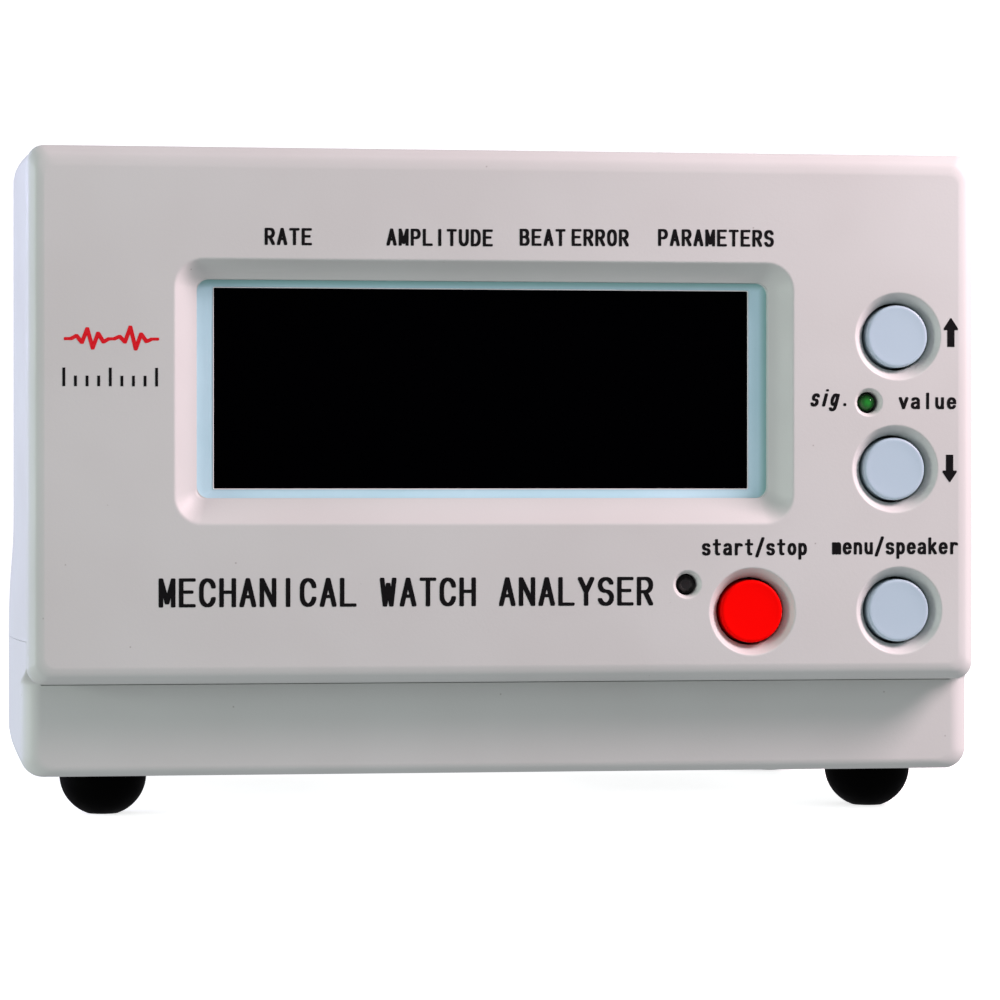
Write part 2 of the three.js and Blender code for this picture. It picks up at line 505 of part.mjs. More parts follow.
// Main board on four standoffs, with its larger components.
const boardTop = MAIN_BOARD.bottom + MAIN_BOARD.thick;
piece('main_board', cutBy(
  block(MAIN_BOARD.left, MAIN_BOARD.right, MAIN_BOARD.near, MAIN_BOARD.far, MAIN_BOARD.bottom, boardTop),
  boardCorners(MAIN_BOARD).map(([x, y]) => barZ(1.6, 0, 40, x, y, 10))), finish.board);
boardCorners(MAIN_BOARD).forEach(([x, y], n) => {
  const mesh = piece(`main_board_screw_${n + 1}`, boardScrew, finish.steel);
  mesh.rotation.x = -Math.PI / 2;
  mesh.position.set(x, y, boardTop + GAP);
});
const onBoard = boardTop + GAP;
piece('processor', block(-10, 10, 70, 90, onBoard, onBoard + 2), finish.black);
piece('sensor_amplifier_shield', block(28, 50, 78, 98, onBoard, onBoard + 7), finish.steel);
piece('voltage_regulator', block(-24, -13, 94, 98.6, onBoard, onBoard + 16), finish.black);
piece('regulator_heatsink', joined([block(-29, -8, 99, 101, onBoard, onBoard + 22),
  ...[0, 1, 2, 3].map((n) => block(-29 + n * 6.4, -27.2 + n * 6.4, 100, 107, onBoard, onBoard + 22))]),
finish.aluminium);
piece('filter_capacitor', barZ(5, onBoard, onBoard + 16, -24, 62, 16), finish.black);

// A flat cable drops from the display board, turns back and comes down onto the main board.
function flatCable() {
  const [near, thick, drop, run, end] = [displayBoardBack + GAP, 1, 44, 24, 56];
  const bend = 6;
  const cable = new THREE.Shape();
  cable.moveTo(near, 50);
  cable.absarc(near + bend, run + bend, bend, Math.PI, Math.PI * 1.5);
  cable.lineTo(end, run);
  cable.lineTo(end, onBoard);
  cable.lineTo(end + thick, onBoard);
  cable.lineTo(end + thick, run + thick);
  cable.lineTo(near + bend, run + thick);
  cable.absarc(near + bend, run + bend, bend - thick, Math.PI * 1.5, Math.PI, true);
  cable.lineTo(near + thick, 50);
  return runAcross(cable, -drop / 2 - 6, drop / 2 - 20);
}
piece('display_cable', flatCable(), finish.ribbon);

// Speaker behind the grille: a dished basket with its magnet towards the front of the case.
const coneFront = REAR_PANEL.front - GAP;
piece('speaker', turned([[0, -14], [9, -14], [9, -8], [14, -6], [SPEAKER.radius, -2.5], [SPEAKER.radius, 0],
  [SPEAKER.radius - 2, 0], [SPEAKER.radius - 2, -1], [4, -4], [0, -4]], 24), finish.steel)
  .position.set(SPEAKER.x, coneFront, SPEAKER.z);

// Rear sockets, each a threaded barrel through the panel with a flange inside and a nut outside.
const rearFace = REAR_PANEL.front + REAR_PANEL.thick;
function jackBody({ thread, bore }, depth, reach) {
  const flange = REAR_PANEL.front - GAP;
  return turned([[0, flange - depth], [thread + 1.6, flange - depth], [thread + 1.6, flange], [thread, flange],
    [thread, rearFace + reach], [bore, rearFace + reach], [bore, flange - depth + 2], [0, flange - depth + 2]], 20);
}
function ringNut({ thread, nut }, thick, sides) {
  const y0 = rearFace + GAP;
  return barY(nut, y0, y0 + thick, 0, 0, sides).subtract(barY(thread + GAP, y0 - 1, y0 + thick + 1, 0, 0, 20));
}
piece('power_socket', jackBody(DC_JACK, 12, 3.2), finish.black).position.set(DC_JACK.x, 0, DC_JACK.z);
piece('power_socket_pin', barY(DC_JACK.pin, REAR_PANEL.front - 9.9, rearFace + 2, 0, 0, 10), finish.brass)
  .position.set(DC_JACK.x, 0, DC_JACK.z);
piece('power_socket_nut', ringNut(DC_JACK, 2.2, 6), finish.steel).position.set(DC_JACK.x, 0, DC_JACK.z);
piece('sensor_socket', jackBody(SENSOR_JACK, 14, 2.6), finish.steel).position.set(SENSOR_JACK.x, 0, SENSOR_JACK.z);
piece('sensor_socket_nut', ringNut(SENSOR_JACK, 1.8, 20), finish.steel)
  .position.set(SENSOR_JACK.x, 0, SENSOR_JACK.z);

// Power switch: a snap-in frame with a rocker on a pivot, resting with its lower end pressed in (off).
function switchFrame() {
  const { width, height, cutWidth, cutHeight } = POWER_SWITCH;
  const flange = block(-width / 2, width / 2, rearFace + GAP, rearFace + 1.8, -height / 2, height / 2);
  const box = block(-cutWidth / 2, cutWidth / 2, rearFace - 14, rearFace + 1, -cutHeight / 2, cutHeight / 2);
  const room = block(-cutWidth / 2 + 1.2, cutWidth / 2 - 1.2, rearFace - 8, rearFace + 3, -cutHeight / 2 + 1.2,
    cutHeight / 2 - 1.2);
  const blades = [-5, 0, 5].map((z) => block(-2.4, 2.4, rearFace - 22, rearFace - 13, z - 0.4, z + 0.4));
  const pivots = [-1, 1].map((side) =>
    solid(new THREE.CylinderGeometry(1, 1, 1.6, 12).rotateZ(Math.PI / 2).translate(side * 4.6, rearFace - 2, 0)));
  return joined([cutBy(flange.add(box), [room]), ...blades, ...pivots]);
}
function rocker() {
  const reach = POWER_SWITCH.cutHeight / 2 - 1.9;
  const side = new THREE.Shape();
  side.moveTo(-5, -1.6);
  side.lineTo(-1.6, -reach);
  side.lineTo(2.6, -reach);
  side.quadraticCurveTo(1.2, 0, 2.6, reach);
  side.lineTo(-1.6, reach);
  side.lineTo(-5, 1.6);
  const halfWidth = POWER_SWITCH.cutWidth / 2 - 1.7;
  const hubs = [-1, 1].map((s) => solid(new THREE.CylinderGeometry(1.35, 1.35, 2.2, 12).rotateZ(Math.PI / 2)
    .translate(s * 4.4, 0, 0)));
  return cutBy(runAcross(side, -halfWidth, halfWidth, 8), hubs);
}
piece('power_switch_frame', switchFrame(), finish.black).position.set(POWER_SWITCH.x, 0, POWER_SWITCH.z);
const rockerMesh = piece('power_switch_rocker', rocker(), finish.black);
rockerMesh.position.set(POWER_SWITCH.x, rearFace - 2, POWER_SWITCH.z);
rockerMesh.rotation.x = THREE.MathUtils.degToRad(POWER_SWITCH.tilt);

const timegrapher = new THREE.Group();
timegrapher.add(instrument);
export default timegrapher;
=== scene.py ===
"""Looks of a desk timegrapher: a moulded instrument case with a display window, push buttons, lamps and
rubber feet."""

import math

import bmesh
import bpy
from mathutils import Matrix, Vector
from mathutils.geometry import convex_hull_2d, delaunay_2d_cdt


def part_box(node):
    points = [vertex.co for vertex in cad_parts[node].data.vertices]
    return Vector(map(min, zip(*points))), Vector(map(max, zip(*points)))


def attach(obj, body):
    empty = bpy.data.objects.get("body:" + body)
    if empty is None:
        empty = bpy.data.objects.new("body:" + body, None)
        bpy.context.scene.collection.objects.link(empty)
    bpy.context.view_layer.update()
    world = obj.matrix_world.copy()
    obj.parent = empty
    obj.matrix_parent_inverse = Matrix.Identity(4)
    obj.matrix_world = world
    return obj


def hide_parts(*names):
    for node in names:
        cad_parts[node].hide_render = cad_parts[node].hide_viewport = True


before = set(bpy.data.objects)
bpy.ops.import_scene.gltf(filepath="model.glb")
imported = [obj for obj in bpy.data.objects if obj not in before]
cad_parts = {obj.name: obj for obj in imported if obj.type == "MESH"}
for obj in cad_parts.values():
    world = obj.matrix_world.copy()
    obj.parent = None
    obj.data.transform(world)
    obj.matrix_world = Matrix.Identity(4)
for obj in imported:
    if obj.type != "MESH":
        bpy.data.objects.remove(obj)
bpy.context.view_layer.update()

# ------------------------------------------------------------------ sizes
# Millimetres, as the model has them. x runs to the right and z up from the table; depth runs back from the
# face of the front panel.
MM = 0.001
DEPTH = 128
CASE_BOTTOM, CASE_TOP, WALL, GAP = 7.1, 109.0, 2.5, 0.3
BASE_HALF, COVER_HALF, DRAFT = 80.74, 79.9, 0.0165
SEAM, FLARE_TOP, COVER_CORNER, TRAY_EDGE, TRAY_CORNER = 29.2, 50.0, 3.2, 7.0, 3.0
CHIN_DEPTH, CHIN_TOP = 7.5, 22.1
NOSE_START, NOSE_RUN, NOSE_COVER, NOSE_TRAY, NOSE_EDGE = 3.3, 36, 2.0, 2.85, 5.2
PANEL_HALF, PANEL_BOTTOM, PANEL_TOP, PANEL_CORNER, PANEL_THICK = 77.8, 22.4, 109.05, 2.8, 3.0
EDGE_SIDE, EDGE_TOP, EDGE_BOTTOM = 2.8, 3.4, 2.7
WINDOW = (-50.5, 43.5, 52.35, 87.75)      # opening: left, right, bottom, top
BEVEL_SIDE, BEVEL_TOP, BEVEL_BOTTOM = 3.7, 3.2, 4.2
SCREEN = (-47.7, 40.35, 53.9, 86.45)      # dark part of the display
FACE = 0.03                               # the printed ink stands this far in front of the panel's face
BUTTONS = {"up": (64.8, 79.0), "down": (64.3, 57.15), "menu": (65.0, 33.8), "start": (40.35, 33.75)}
LAMPS = {"signal": (59.85, 68.1), "power": (29.5, 38.2)}
FEET_X, FEET_DEPTHS = 64.95, (23, 105)
CASE_SCREW_X, CASE_SCREW_DEPTHS = 70, (40, 88)
REAR_HALF, REAR_BOTTOM, REAR_TOP, REAR_FRONT, REAR_BACK = 75.7, 9.9, 106.2, 121.5, 124.0
SPEAKER_X, SPEAKER_Z, GRILLE_PITCH = 12, 68, 5
POWER_SOCKET, SENSOR_SOCKET, POWER_SWITCH = (-26, 32), (48, 32), (-54, 34)


# ------------------------------------------------------------------ colour and node helpers
def linear(hex_colour, alpha=1.0):
    """An sRGB hex colour as linear RGBA."""
    parts = [int(hex_colour[i : i + 2], 16) / 255 for i in (1, 3, 5)]
    return (*[c / 12.92 if c <= 0.04045 else ((c + 0.055) / 1.055) ** 2.4 for c in parts], alpha)


def add(tree, kind, settings=None, **inputs):
    """A node with its settings. Inputs are values, or the sockets they link from, or nodes whose first
    output they take."""
    node = tree.nodes.new(kind)
    for key, value in (settings or {}).items():
        setattr(node, key, value)
    for key, value in inputs.items():
        name = key.replace("_", " ")
        socket = node.inputs[int(key[1:])] if key[0] == "i" and key[1:].isdigit() else node.inputs[name]
        if isinstance(value, bpy.types.Node):
            value = value.outputs[0]
        if isinstance(value, bpy.types.NodeSocket):
            tree.links.new(value, socket)
        else:
            socket.default_value = value
    return node


def material(name, **values):
    """A material with its shader's constant values set; returns it with its tree, shader and object
    coordinates."""
    mat = bpy.data.materials.new(name)
    mat.use_nodes = True
    tree = mat.node_tree
    shader = tree.nodes["Principled BSDF"]
    for key, value in values.items():
        shader.inputs[key.replace("_", " ")].default_value = value
    coords = tree.nodes.new("ShaderNodeTexCoord").outputs["Object"]
    return mat, tree, shader, coords


def per_mm(size):
    """The texture scale at which one cell of a noise is this many millimetres across."""
    return 1000.0 / size


# ------------------------------------------------------------------ materials
def moulded_plastic(name, light, dark, roughness, grain, grain_depth, spot=None, ior=1.53, gloss=0.5):
    """Injection moulded ABS: an even body colour with a slow drift from the melt's flow, and a mould
    texture."""
    mat, tree, shader, coords = material(name, IOR=ior, Specular_IOR_Level=gloss)
    drift = add(tree, "ShaderNodeTexNoise", Vector=coords, Scale=per_mm(26), Detail=2.0)
    share = add(tree, "ShaderNodeMapRange", Value=drift.outputs["Fac"], i1=0.35, i2=0.68, i3=0.0, i4=1.0)
    body = add(tree, "ShaderNodeMix", {"data_type": "RGBA"}, i0=share, i6=linear(light), i7=linear(dark))
    if spot:
        # fine dark specks of dust and regrind, a few in each square centimetre
        cells = add(tree, "ShaderNodeTexVoronoi", Vector=coords, Scale=per_mm(3.4))
        speck = add(tree, "ShaderNodeMapRange", Value=cells.outputs["Distance"], i1=0.02, i2=0.055, i3=1.0,
                    i4=0.0)
        chance = add(tree, "ShaderNodeSeparateColor", Color=cells.outputs["Color"])
        some = add(tree, "ShaderNodeMapRange", Value=chance, i1=0.8, i2=0.86, i3=0.0, i4=0.6)
        both = add(tree, "ShaderNodeMath", {"operation": "MULTIPLY"}, i0=speck, i1=some)
        body = add(tree, "ShaderNodeMix", {"data_type": "RGBA"}, i0=both, i6=body.outputs[2],
                   i7=linear(spot))
    tree.links.new(body.outputs[2], shader.inputs["Base Color"])
    sheen = add(tree, "ShaderNodeTexNoise", Vector=coords, Scale=per_mm(9), Detail=3.0)
    sheen = add(tree, "ShaderNodeMapRange", Value=sheen.outputs["Fac"], i1=0.3, i2=0.7, i3=roughness - 0.04,
                i4=roughness + 0.05)
    tree.links.new(sheen.outputs[0], shader.inputs["Roughness"])
    fine = add(tree, "ShaderNodeTexNoise", Vector=coords, Scale=per_mm(grain), Detail=2.0, Roughness=0.6)
    relief = add(tree, "ShaderNodeBump", Height=fine.outputs["Fac"], Distance=grain_depth * MM)
    tree.links.new(relief.outputs["Normal"], shader.inputs["Normal"])
    return mat


# Off-white ABS case: the spark-eroded mould leaves a satin grain about 0.4 mm across, which keeps the
# highlights soft.
abs_case = moulded_plastic("moulded_abs_case", "#CBD0CB", "#C7CBC6", 0.5, 0.42, 0.012, "#7D7A72")
# Pale blue-grey ABS caps from a smoother mould: a tighter sheen than the case.
abs_cap = moulded_plastic("moulded_abs_pale_cap", "#B4CCD7", "#B0C9D4", 0.36, 0.7, 0.006)
# Red ABS cap with a strong even pigment: almost no grey sheen over it.
abs_red = moulded_plastic("moulded_abs_red_cap", "#FF0200", "#FA0100", 0.4, 0.7, 0.006, gloss=0.03)
# Black nylon for switch and socket bodies: near black, with a faint satin sheen.
nylon_black = moulded_plastic("moulded_black_nylon", "#1B1B1D", "#161618", 0.42, 0.3, 0.008)
# Black epoxy of the chips: matt and very fine.
epoxy_black = moulded_plastic("moulded_black_epoxy", "#202022", "#19191B", 0.6, 0.2, 0.01)
# Milky acrylic light guide: white, lightly frosted; also the painted highlight round the display's dark
# area.
acrylic_milky = moulded_plastic("frosted_milky_acrylic", "#EEF2F0", "#E6ECEA", 0.4, 0.5, 0.004, ior=1.49)


def rubber():
    """Moulded black rubber: next to no highlight, with a little dust caught in a fine matt skin."""
    mat, tree, shader, coords = material("moulded_black_rubber", IOR=1.52, Specular_IOR_Level=0.02)
    dust = add(tree, "ShaderNodeTexNoise", Vector=coords, Scale=per_mm(2.2), Detail=5.0, Roughness=0.7)
    caught = add(tree, "ShaderNodeMapRange", Value=dust.outputs["Fac"], i1=0.55, i2=0.8, i3=0.0, i4=0.35)
    body = add(tree, "ShaderNodeMix", {"data_type": "RGBA"}, i0=caught, i6=linear("#010101"),
               i7=linear("#060606"))
    tree.links.new(body.outputs[2], shader.inputs["Base Color"])
    sheen = add(tree, "ShaderNodeMapRange", Value=dust.outputs["Fac"], i1=0.3, i2=0.7, i3=0.5, i4=0.68)
    tree.links.new(sheen.outputs[0], shader.inputs["Roughness"])
    skin = add(tree, "ShaderNodeTexNoise", Vector=coords, Scale=per_mm(0.5), Detail=3.0, Roughness=0.6)
    relief = add(tree, "ShaderNodeBump", Height=skin.outputs["Fac"], Distance=0.02 * MM)
    tree.links.new(relief.outputs["Normal"], shader.inputs["Normal"])
    return mat


def metal(name, light, dark, roughness, grain, stretch=(1, 1, 1)):
    """Plated or turned metal: streaks along the working direction vary its colour and its roughness."""
    mat, tree, shader, coords = material(name, Metallic=1.0)
    place = add(tree, "ShaderNodeMapping", Vector=coords, Scale=stretch)
    lines = add(tree, "ShaderNodeTexNoise", Vector=place, Scale=per_mm(grain), Detail=4.0, Roughness=0.6)
    share = add(tree, "ShaderNodeMapRange", Value=lines.outputs["Fac"], i1=0.3, i2=0.7, i3=0.0, i4=1.0)
    body = add(tree, "ShaderNodeMix", {"data_type": "RGBA"}, i0=share, i6=linear(light), i7=linear(dark))
    tree.links.new(body.outputs[2], shader.inputs["Base Color"])
    sheen = add(tree, "ShaderNodeMapRange", Value=lines.outputs["Fac"], i1=0.3, i2=0.7, i3=roughness - 0.07,
                i4=roughness + 0.09)
    tree.links.new(sheen.outputs[0], shader.inputs["Roughness"])
    relief = add(tree, "ShaderNodeBump", Height=lines.outputs["Fac"], Distance=0.008 * MM)
    tree.links.new(relief.outputs["Normal"], shader.inputs["Normal"])
    return mat


# Bright zinc on pressed and headed steel: grey-white with a faint bluish cloudiness.
zinc_steel = metal("bright_zinc_steel", "#C9CACB", "#B2B4B8", 0.3, 1.2)
# Extruded aluminium heatsink: paler, drawn lines run up its fins.
aluminium = metal("extruded_aluminium", "#D6D8D9", "#C2C4C6", 0.4, 0.6, (1, 1, 0.08))
# Turned brass pin: a warm yellow, polished by the plug.
brass = metal("turned_brass", "#D9B468", "#C39A4E", 0.25, 0.5)


def circuit_board():
    """Glass-epoxy board under green solder mask: copper tracks show as paler lines with bare tinned
    pads."""
    mat, tree, shader, coords = material("green_solder_mask", IOR=1.5, Coat_Weight=0.4, Coat_Roughness=0.2)
    tracks = add(tree, "ShaderNodeTexBrick", {"offset": 0.5}, Vector=coords, Scale=per_mm(5.0),
                 Mortar_Size=0.04, Mortar_Smooth=0.2, Brick_Width=1.9, Row_Height=0.5)
    body = add(tree, "ShaderNodeMix", {"data_type": "RGBA"}, i0=tracks.outputs["Fac"], i6=linear("#12532B"),
               i7=linear("#2E7A44"))
    cells = add(tree, "ShaderNodeTexVoronoi", Vector=coords, Scale=per_mm(2.54), Randomness=0.25)
    pad = add(tree, "ShaderNodeMapRange", Value=cells.outputs["Distance"], i1=0.16, i2=0.19, i3=1.0, i4=0.0)
    body = add(tree, "ShaderNodeMix", {"data_type": "RGBA"}, i0=pad, i6=body.outputs[2],
               i7=linear("#C4C6C2"))
    tree.links.new(body.outputs[2], shader.inputs["Base Color"])
    sheen = add(tree, "ShaderNodeMapRange", Value=pad, i1=0.0, i2=1.0, i3=0.38, i4=0.25)
    tree.links.new(sheen.outputs[0], shader.inputs["Roughness"])
    relief = add(tree, "ShaderNodeBump", Height=tracks.outputs["Fac"], Distance=0.035 * MM)
    tree.links.new(relief.outputs["Normal"], shader.inputs["Normal"])
    return mat


def ribbon():
    """Flat cable: grey vinyl over parallel conductors 1.27 mm apart."""
    mat, tree, shader, coords = material("ribbed_grey_vinyl", IOR=1.52, Roughness=0.5)
    waves = add(tree, "ShaderNodeTexWave", {"wave_profile": "SIN"}, Vector=coords,
                Scale=per_mm(1.27) / 20.0 * math.pi)
    body = add(tree, "ShaderNodeMix", {"data_type": "RGBA"}, i0=waves.outputs["Fac"], i6=linear("#7C7E84"),
               i7=linear("#A3A5AA"))
    tree.links.new(body.outputs[2], shader.inputs["Base Color"])
    relief = add(tree, "ShaderNodeBump", Height=waves.outputs["Fac"], Distance=0.2 * MM)
    tree.links.new(relief.outputs["Normal"], shader.inputs["Normal"])
    return mat


def display_cell():
    """Display glass over its pale reflector: light blue, with a painted shade of deeper green-blue towards
    the frame at the right and the top."""
    mat, tree, shader, coords = material("display_glass_over_reflector", IOR=1.52, Roughness=0.16,
                                         Coat_Weight=0.25, Coat_Roughness=0.05)
    cloud = add(tree, "ShaderNodeTexNoise", Vector=coords, Scale=per_mm(18), Detail=2.0)
    share = add(tree, "ShaderNodeMapRange", Value=cloud.outputs["Fac"], i1=0.35, i2=0.65, i3=0.0, i4=1.0)
    body = add(tree, "ShaderNodeMix", {"data_type": "RGBA"}, i0=share, i6=linear("#CFF3FF"),
               i7=linear("#C4ECF8"))
    # the diffuser's dimpled back, half a millimetre apart, shows as a faint texture
    dots = add(tree, "ShaderNodeTexVoronoi", Vector=coords, Scale=per_mm(0.5))
    faint = add(tree, "ShaderNodeMapRange", Value=dots.outputs["Distance"], i1=0.0, i2=0.5, i3=0.1, i4=0.0)
    body = add(tree, "ShaderNodeMix", {"data_type": "RGBA"}, i0=faint, i6=body.outputs[2],
               i7=linear("#B6E2EC"))
    # painted shade: the frame's recess shades the border at the right and at the top, so the colour turns a
    # deeper green-blue there
    place = add(tree, "ShaderNodeSeparateXYZ", Vector=coords)
    right = add(tree, "ShaderNodeMapRange", {"interpolation_type": "SMOOTHSTEP"}, Value=place,
                i1=(WINDOW[1] - 1.9) * MM, i2=WINDOW[1] * MM, i3=0.0, i4=0.85)
    top = add(tree, "ShaderNodeMapRange", {"interpolation_type": "SMOOTHSTEP"}, Value=place.outputs[2],
              i1=(WINDOW[3] - 1.5) * MM, i2=(WINDOW[3] - 0.1) * MM, i3=0.15, i4=0.85)
    painted_recess_shade = add(tree, "ShaderNodeMath", {"operation": "MAXIMUM"}, i0=right, i1=top)
    body = add(tree, "ShaderNodeMix", {"data_type": "RGBA"}, i0=painted_recess_shade, i6=body.outputs[2],
               i7=linear("#7FB5AF"))
    tree.links.new(body.outputs[2], shader.inputs["Base Color"])
    return mat


def display_dark():
    """Switched-off display area behind a matt anti-glare film: close to black."""
    mat, tree, shader, coords = material("anti_glare_polariser", IOR=1.49, Specular_IOR_Level=0.0)
    haze = add(tree, "ShaderNodeTexNoise", Vector=coords, Scale=per_mm(0.25), Detail=2.0)
    body = add(tree, "ShaderNodeMix", {"data_type": "RGBA"}, i0=haze.outputs["Fac"], i6=linear("#000001"),
               i7=linear("#020203"))
    tree.links.new(body.outputs[2], shader.inputs["Base Color"])
    sheen = add(tree, "ShaderNodeMapRange", Value=haze.outputs["Fac"], i1=0.3, i2=0.7, i3=0.42, i4=0.55)
    tree.links.new(sheen.outputs[0], shader.inputs["Roughness"])
    relief = add(tree, "ShaderNodeBump", Height=haze.outputs["Fac"], Distance=0.004 * MM)
    tree.links.new(relief.outputs["Normal"], shader.inputs["Normal"])
    return mat


def lamp_epoxy(name, painted_cup_reflection, rim, centre):
    """Tinted clear epoxy of an unlit lamp: its colour is lighter at the centre, a painted reflection of the
    bright cup inside, and darker at the rim, painted shade."""
    mat, tree, shader, coords = material(name, IOR=1.55, Roughness=0.08, Coat_Weight=0.15,
                                         Coat_Roughness=0.03, Specular_IOR_Level=0.35)
    x, z = centre
    place = add(tree, "ShaderNodeMapping", Vector=coords, Location=(-x * MM, 0, -z * MM))
    flat = add(tree, "ShaderNodeVectorMath", {"operation": "MULTIPLY"}, i0=place.outputs["Vector"],
               i1=(1, 0, 1))
    reach = add(tree, "ShaderNodeVectorMath", {"operation": "LENGTH"}, i0=flat.outputs["Vector"])
    edge = add(tree, "ShaderNodeMapRange", Value=reach.outputs["Value"], i1=0.3 * MM, i2=1.35 * MM, i3=0.0,
               i4=1.0)
    swirl = add(tree, "ShaderNodeTexNoise", Vector=coords, Scale=per_mm(1.1), Detail=3.0)
    blend = add(tree, "ShaderNodeMapRange", Value=swirl.outputs["Fac"], i1=0.3, i2=0.7, i3=0.9, i4=1.1)
    painted_rim_shade = add(tree, "ShaderNodeMath", {"operation": "MULTIPLY", "use_clamp": True}, i0=edge,
                 i1=blend)
    # painted reflection and shade: the centre takes the colour of the bright cup seen inside, the rim a
    # painted shade
    body = add(tree, "ShaderNodeMix", {"data_type": "RGBA"}, i0=painted_rim_shade, i6=linear(painted_cup_reflection), i7=linear(rim))
    tree.links.new(body.outputs[2], shader.inputs["Base Color"])
    return mat


def ink(name, colour, worn):
    """Screen-printed ink: a matt film of even thickness with pinholes too fine to see singly."""
    mat, tree, shader, coords = material(name, IOR=1.5, Specular_IOR_Level=0.12)
    grain = add(tree, "ShaderNodeTexNoise", Vector=coords, Scale=per_mm(0.3), Detail=3.0, Roughness=0.6)
    share = add(tree, "ShaderNodeMapRange", Value=grain.outputs["Fac"], i1=0.4, i2=0.75, i3=0.0, i4=1.0)
    body = add(tree, "ShaderNodeMix", {"data_type": "RGBA"}, i0=share, i6=linear(colour), i7=linear(worn))
    tree.links.new(body.outputs[2], shader.inputs["Base Color"])
    sheen = add(tree, "ShaderNodeMapRange", Value=grain.outputs["Fac"], i1=0.3, i2=0.7, i3=0.5, i4=0.65)
    tree.links.new(sheen.outputs[0], shader.inputs["Roughness"])
    relief = add(tree, "ShaderNodeBump", Height=grain.outputs["Fac"], Distance=0.004 * MM)
    tree.links.new(relief.outputs["Normal"], shader.inputs["Normal"])
    return mat


def studio_floor():
    """Matt white studio card."""
    mat, tree, shader, coords = material("matt_white_card", Roughness=0.9, Specular_IOR_Level=0.1,
                                         Emission_Color=(1, 1, 1, 1), Emission_Strength=0.75)
    soft = add(tree, "ShaderNodeTexNoise", Vector=coords, Scale=per_mm(120), Detail=2.0)
    body = add(tree, "ShaderNodeMix", {"data_type": "RGBA"}, i0=soft.outputs["Fac"], i6=linear("#FBFBFB"),
               i7=linear("#F8F8F8"))
    tree.links.new(body.outputs[2], shader.inputs["Base Color"])
    return mat


rubber_black = rubber()
board_green = circuit_board()
cable_grey = ribbon()
display_pale = display_cell()
display_black = display_dark()
# each lamp's first colour is a painted reflection of its cup, its second a painted shade at the rim
lamp_green = lamp_epoxy("green_lamp_epoxy", "#128F22", "#053A0B", LAMPS["signal"])
lamp_dark = lamp_epoxy("dark_red_lamp_epoxy", "#16070A", "#050203", LAMPS["power"])
ink_black = ink("black_screen_ink", "#040405", "#0C0C0E")
ink_red = ink("red_screen_ink", "#D3101C", "#DC2630")


# ------------------------------------------------------------------ mesh helpers
def at(x, depth, z):
    return Vector((x * MM, (depth - DEPTH / 2) * MM, z * MM))


def rounded(x0, x1, z0, z1, radius, steps=10):
    """A rectangle with rounded corners, anticlockwise from its lower right corner, with points to hold
    the flats."""
    points = []
    for cx, cz, start in ((x1, z0, -90), (x1, z1, 0), (x0, z1, 90), (x0, z0, 180)):
        ox = cx - radius if cx == x1 else cx + radius
        oz = cz - radius if cz == z1 else cz + radius
        for k in range(steps + 1):
            angle = math.radians(start + 90 * k / steps)
            points.append((ox + radius * math.cos(angle), oz + radius * math.sin(angle)))
    return points


def circle(x, z, radius, steps=72):
    return [(x + radius * math.cos(math.tau * k / steps), z + radius * math.sin(math.tau * k / steps))
            for k in range(steps)]


def fillet(steps=4):
    """Shares (inset, depth) along a quarter round, from the face to the side."""
    sweep = [math.pi / 2 * k / steps for k in range(steps + 1)]
    return [(1 - math.sin(a), 1 - math.cos(a)) for a in sweep]


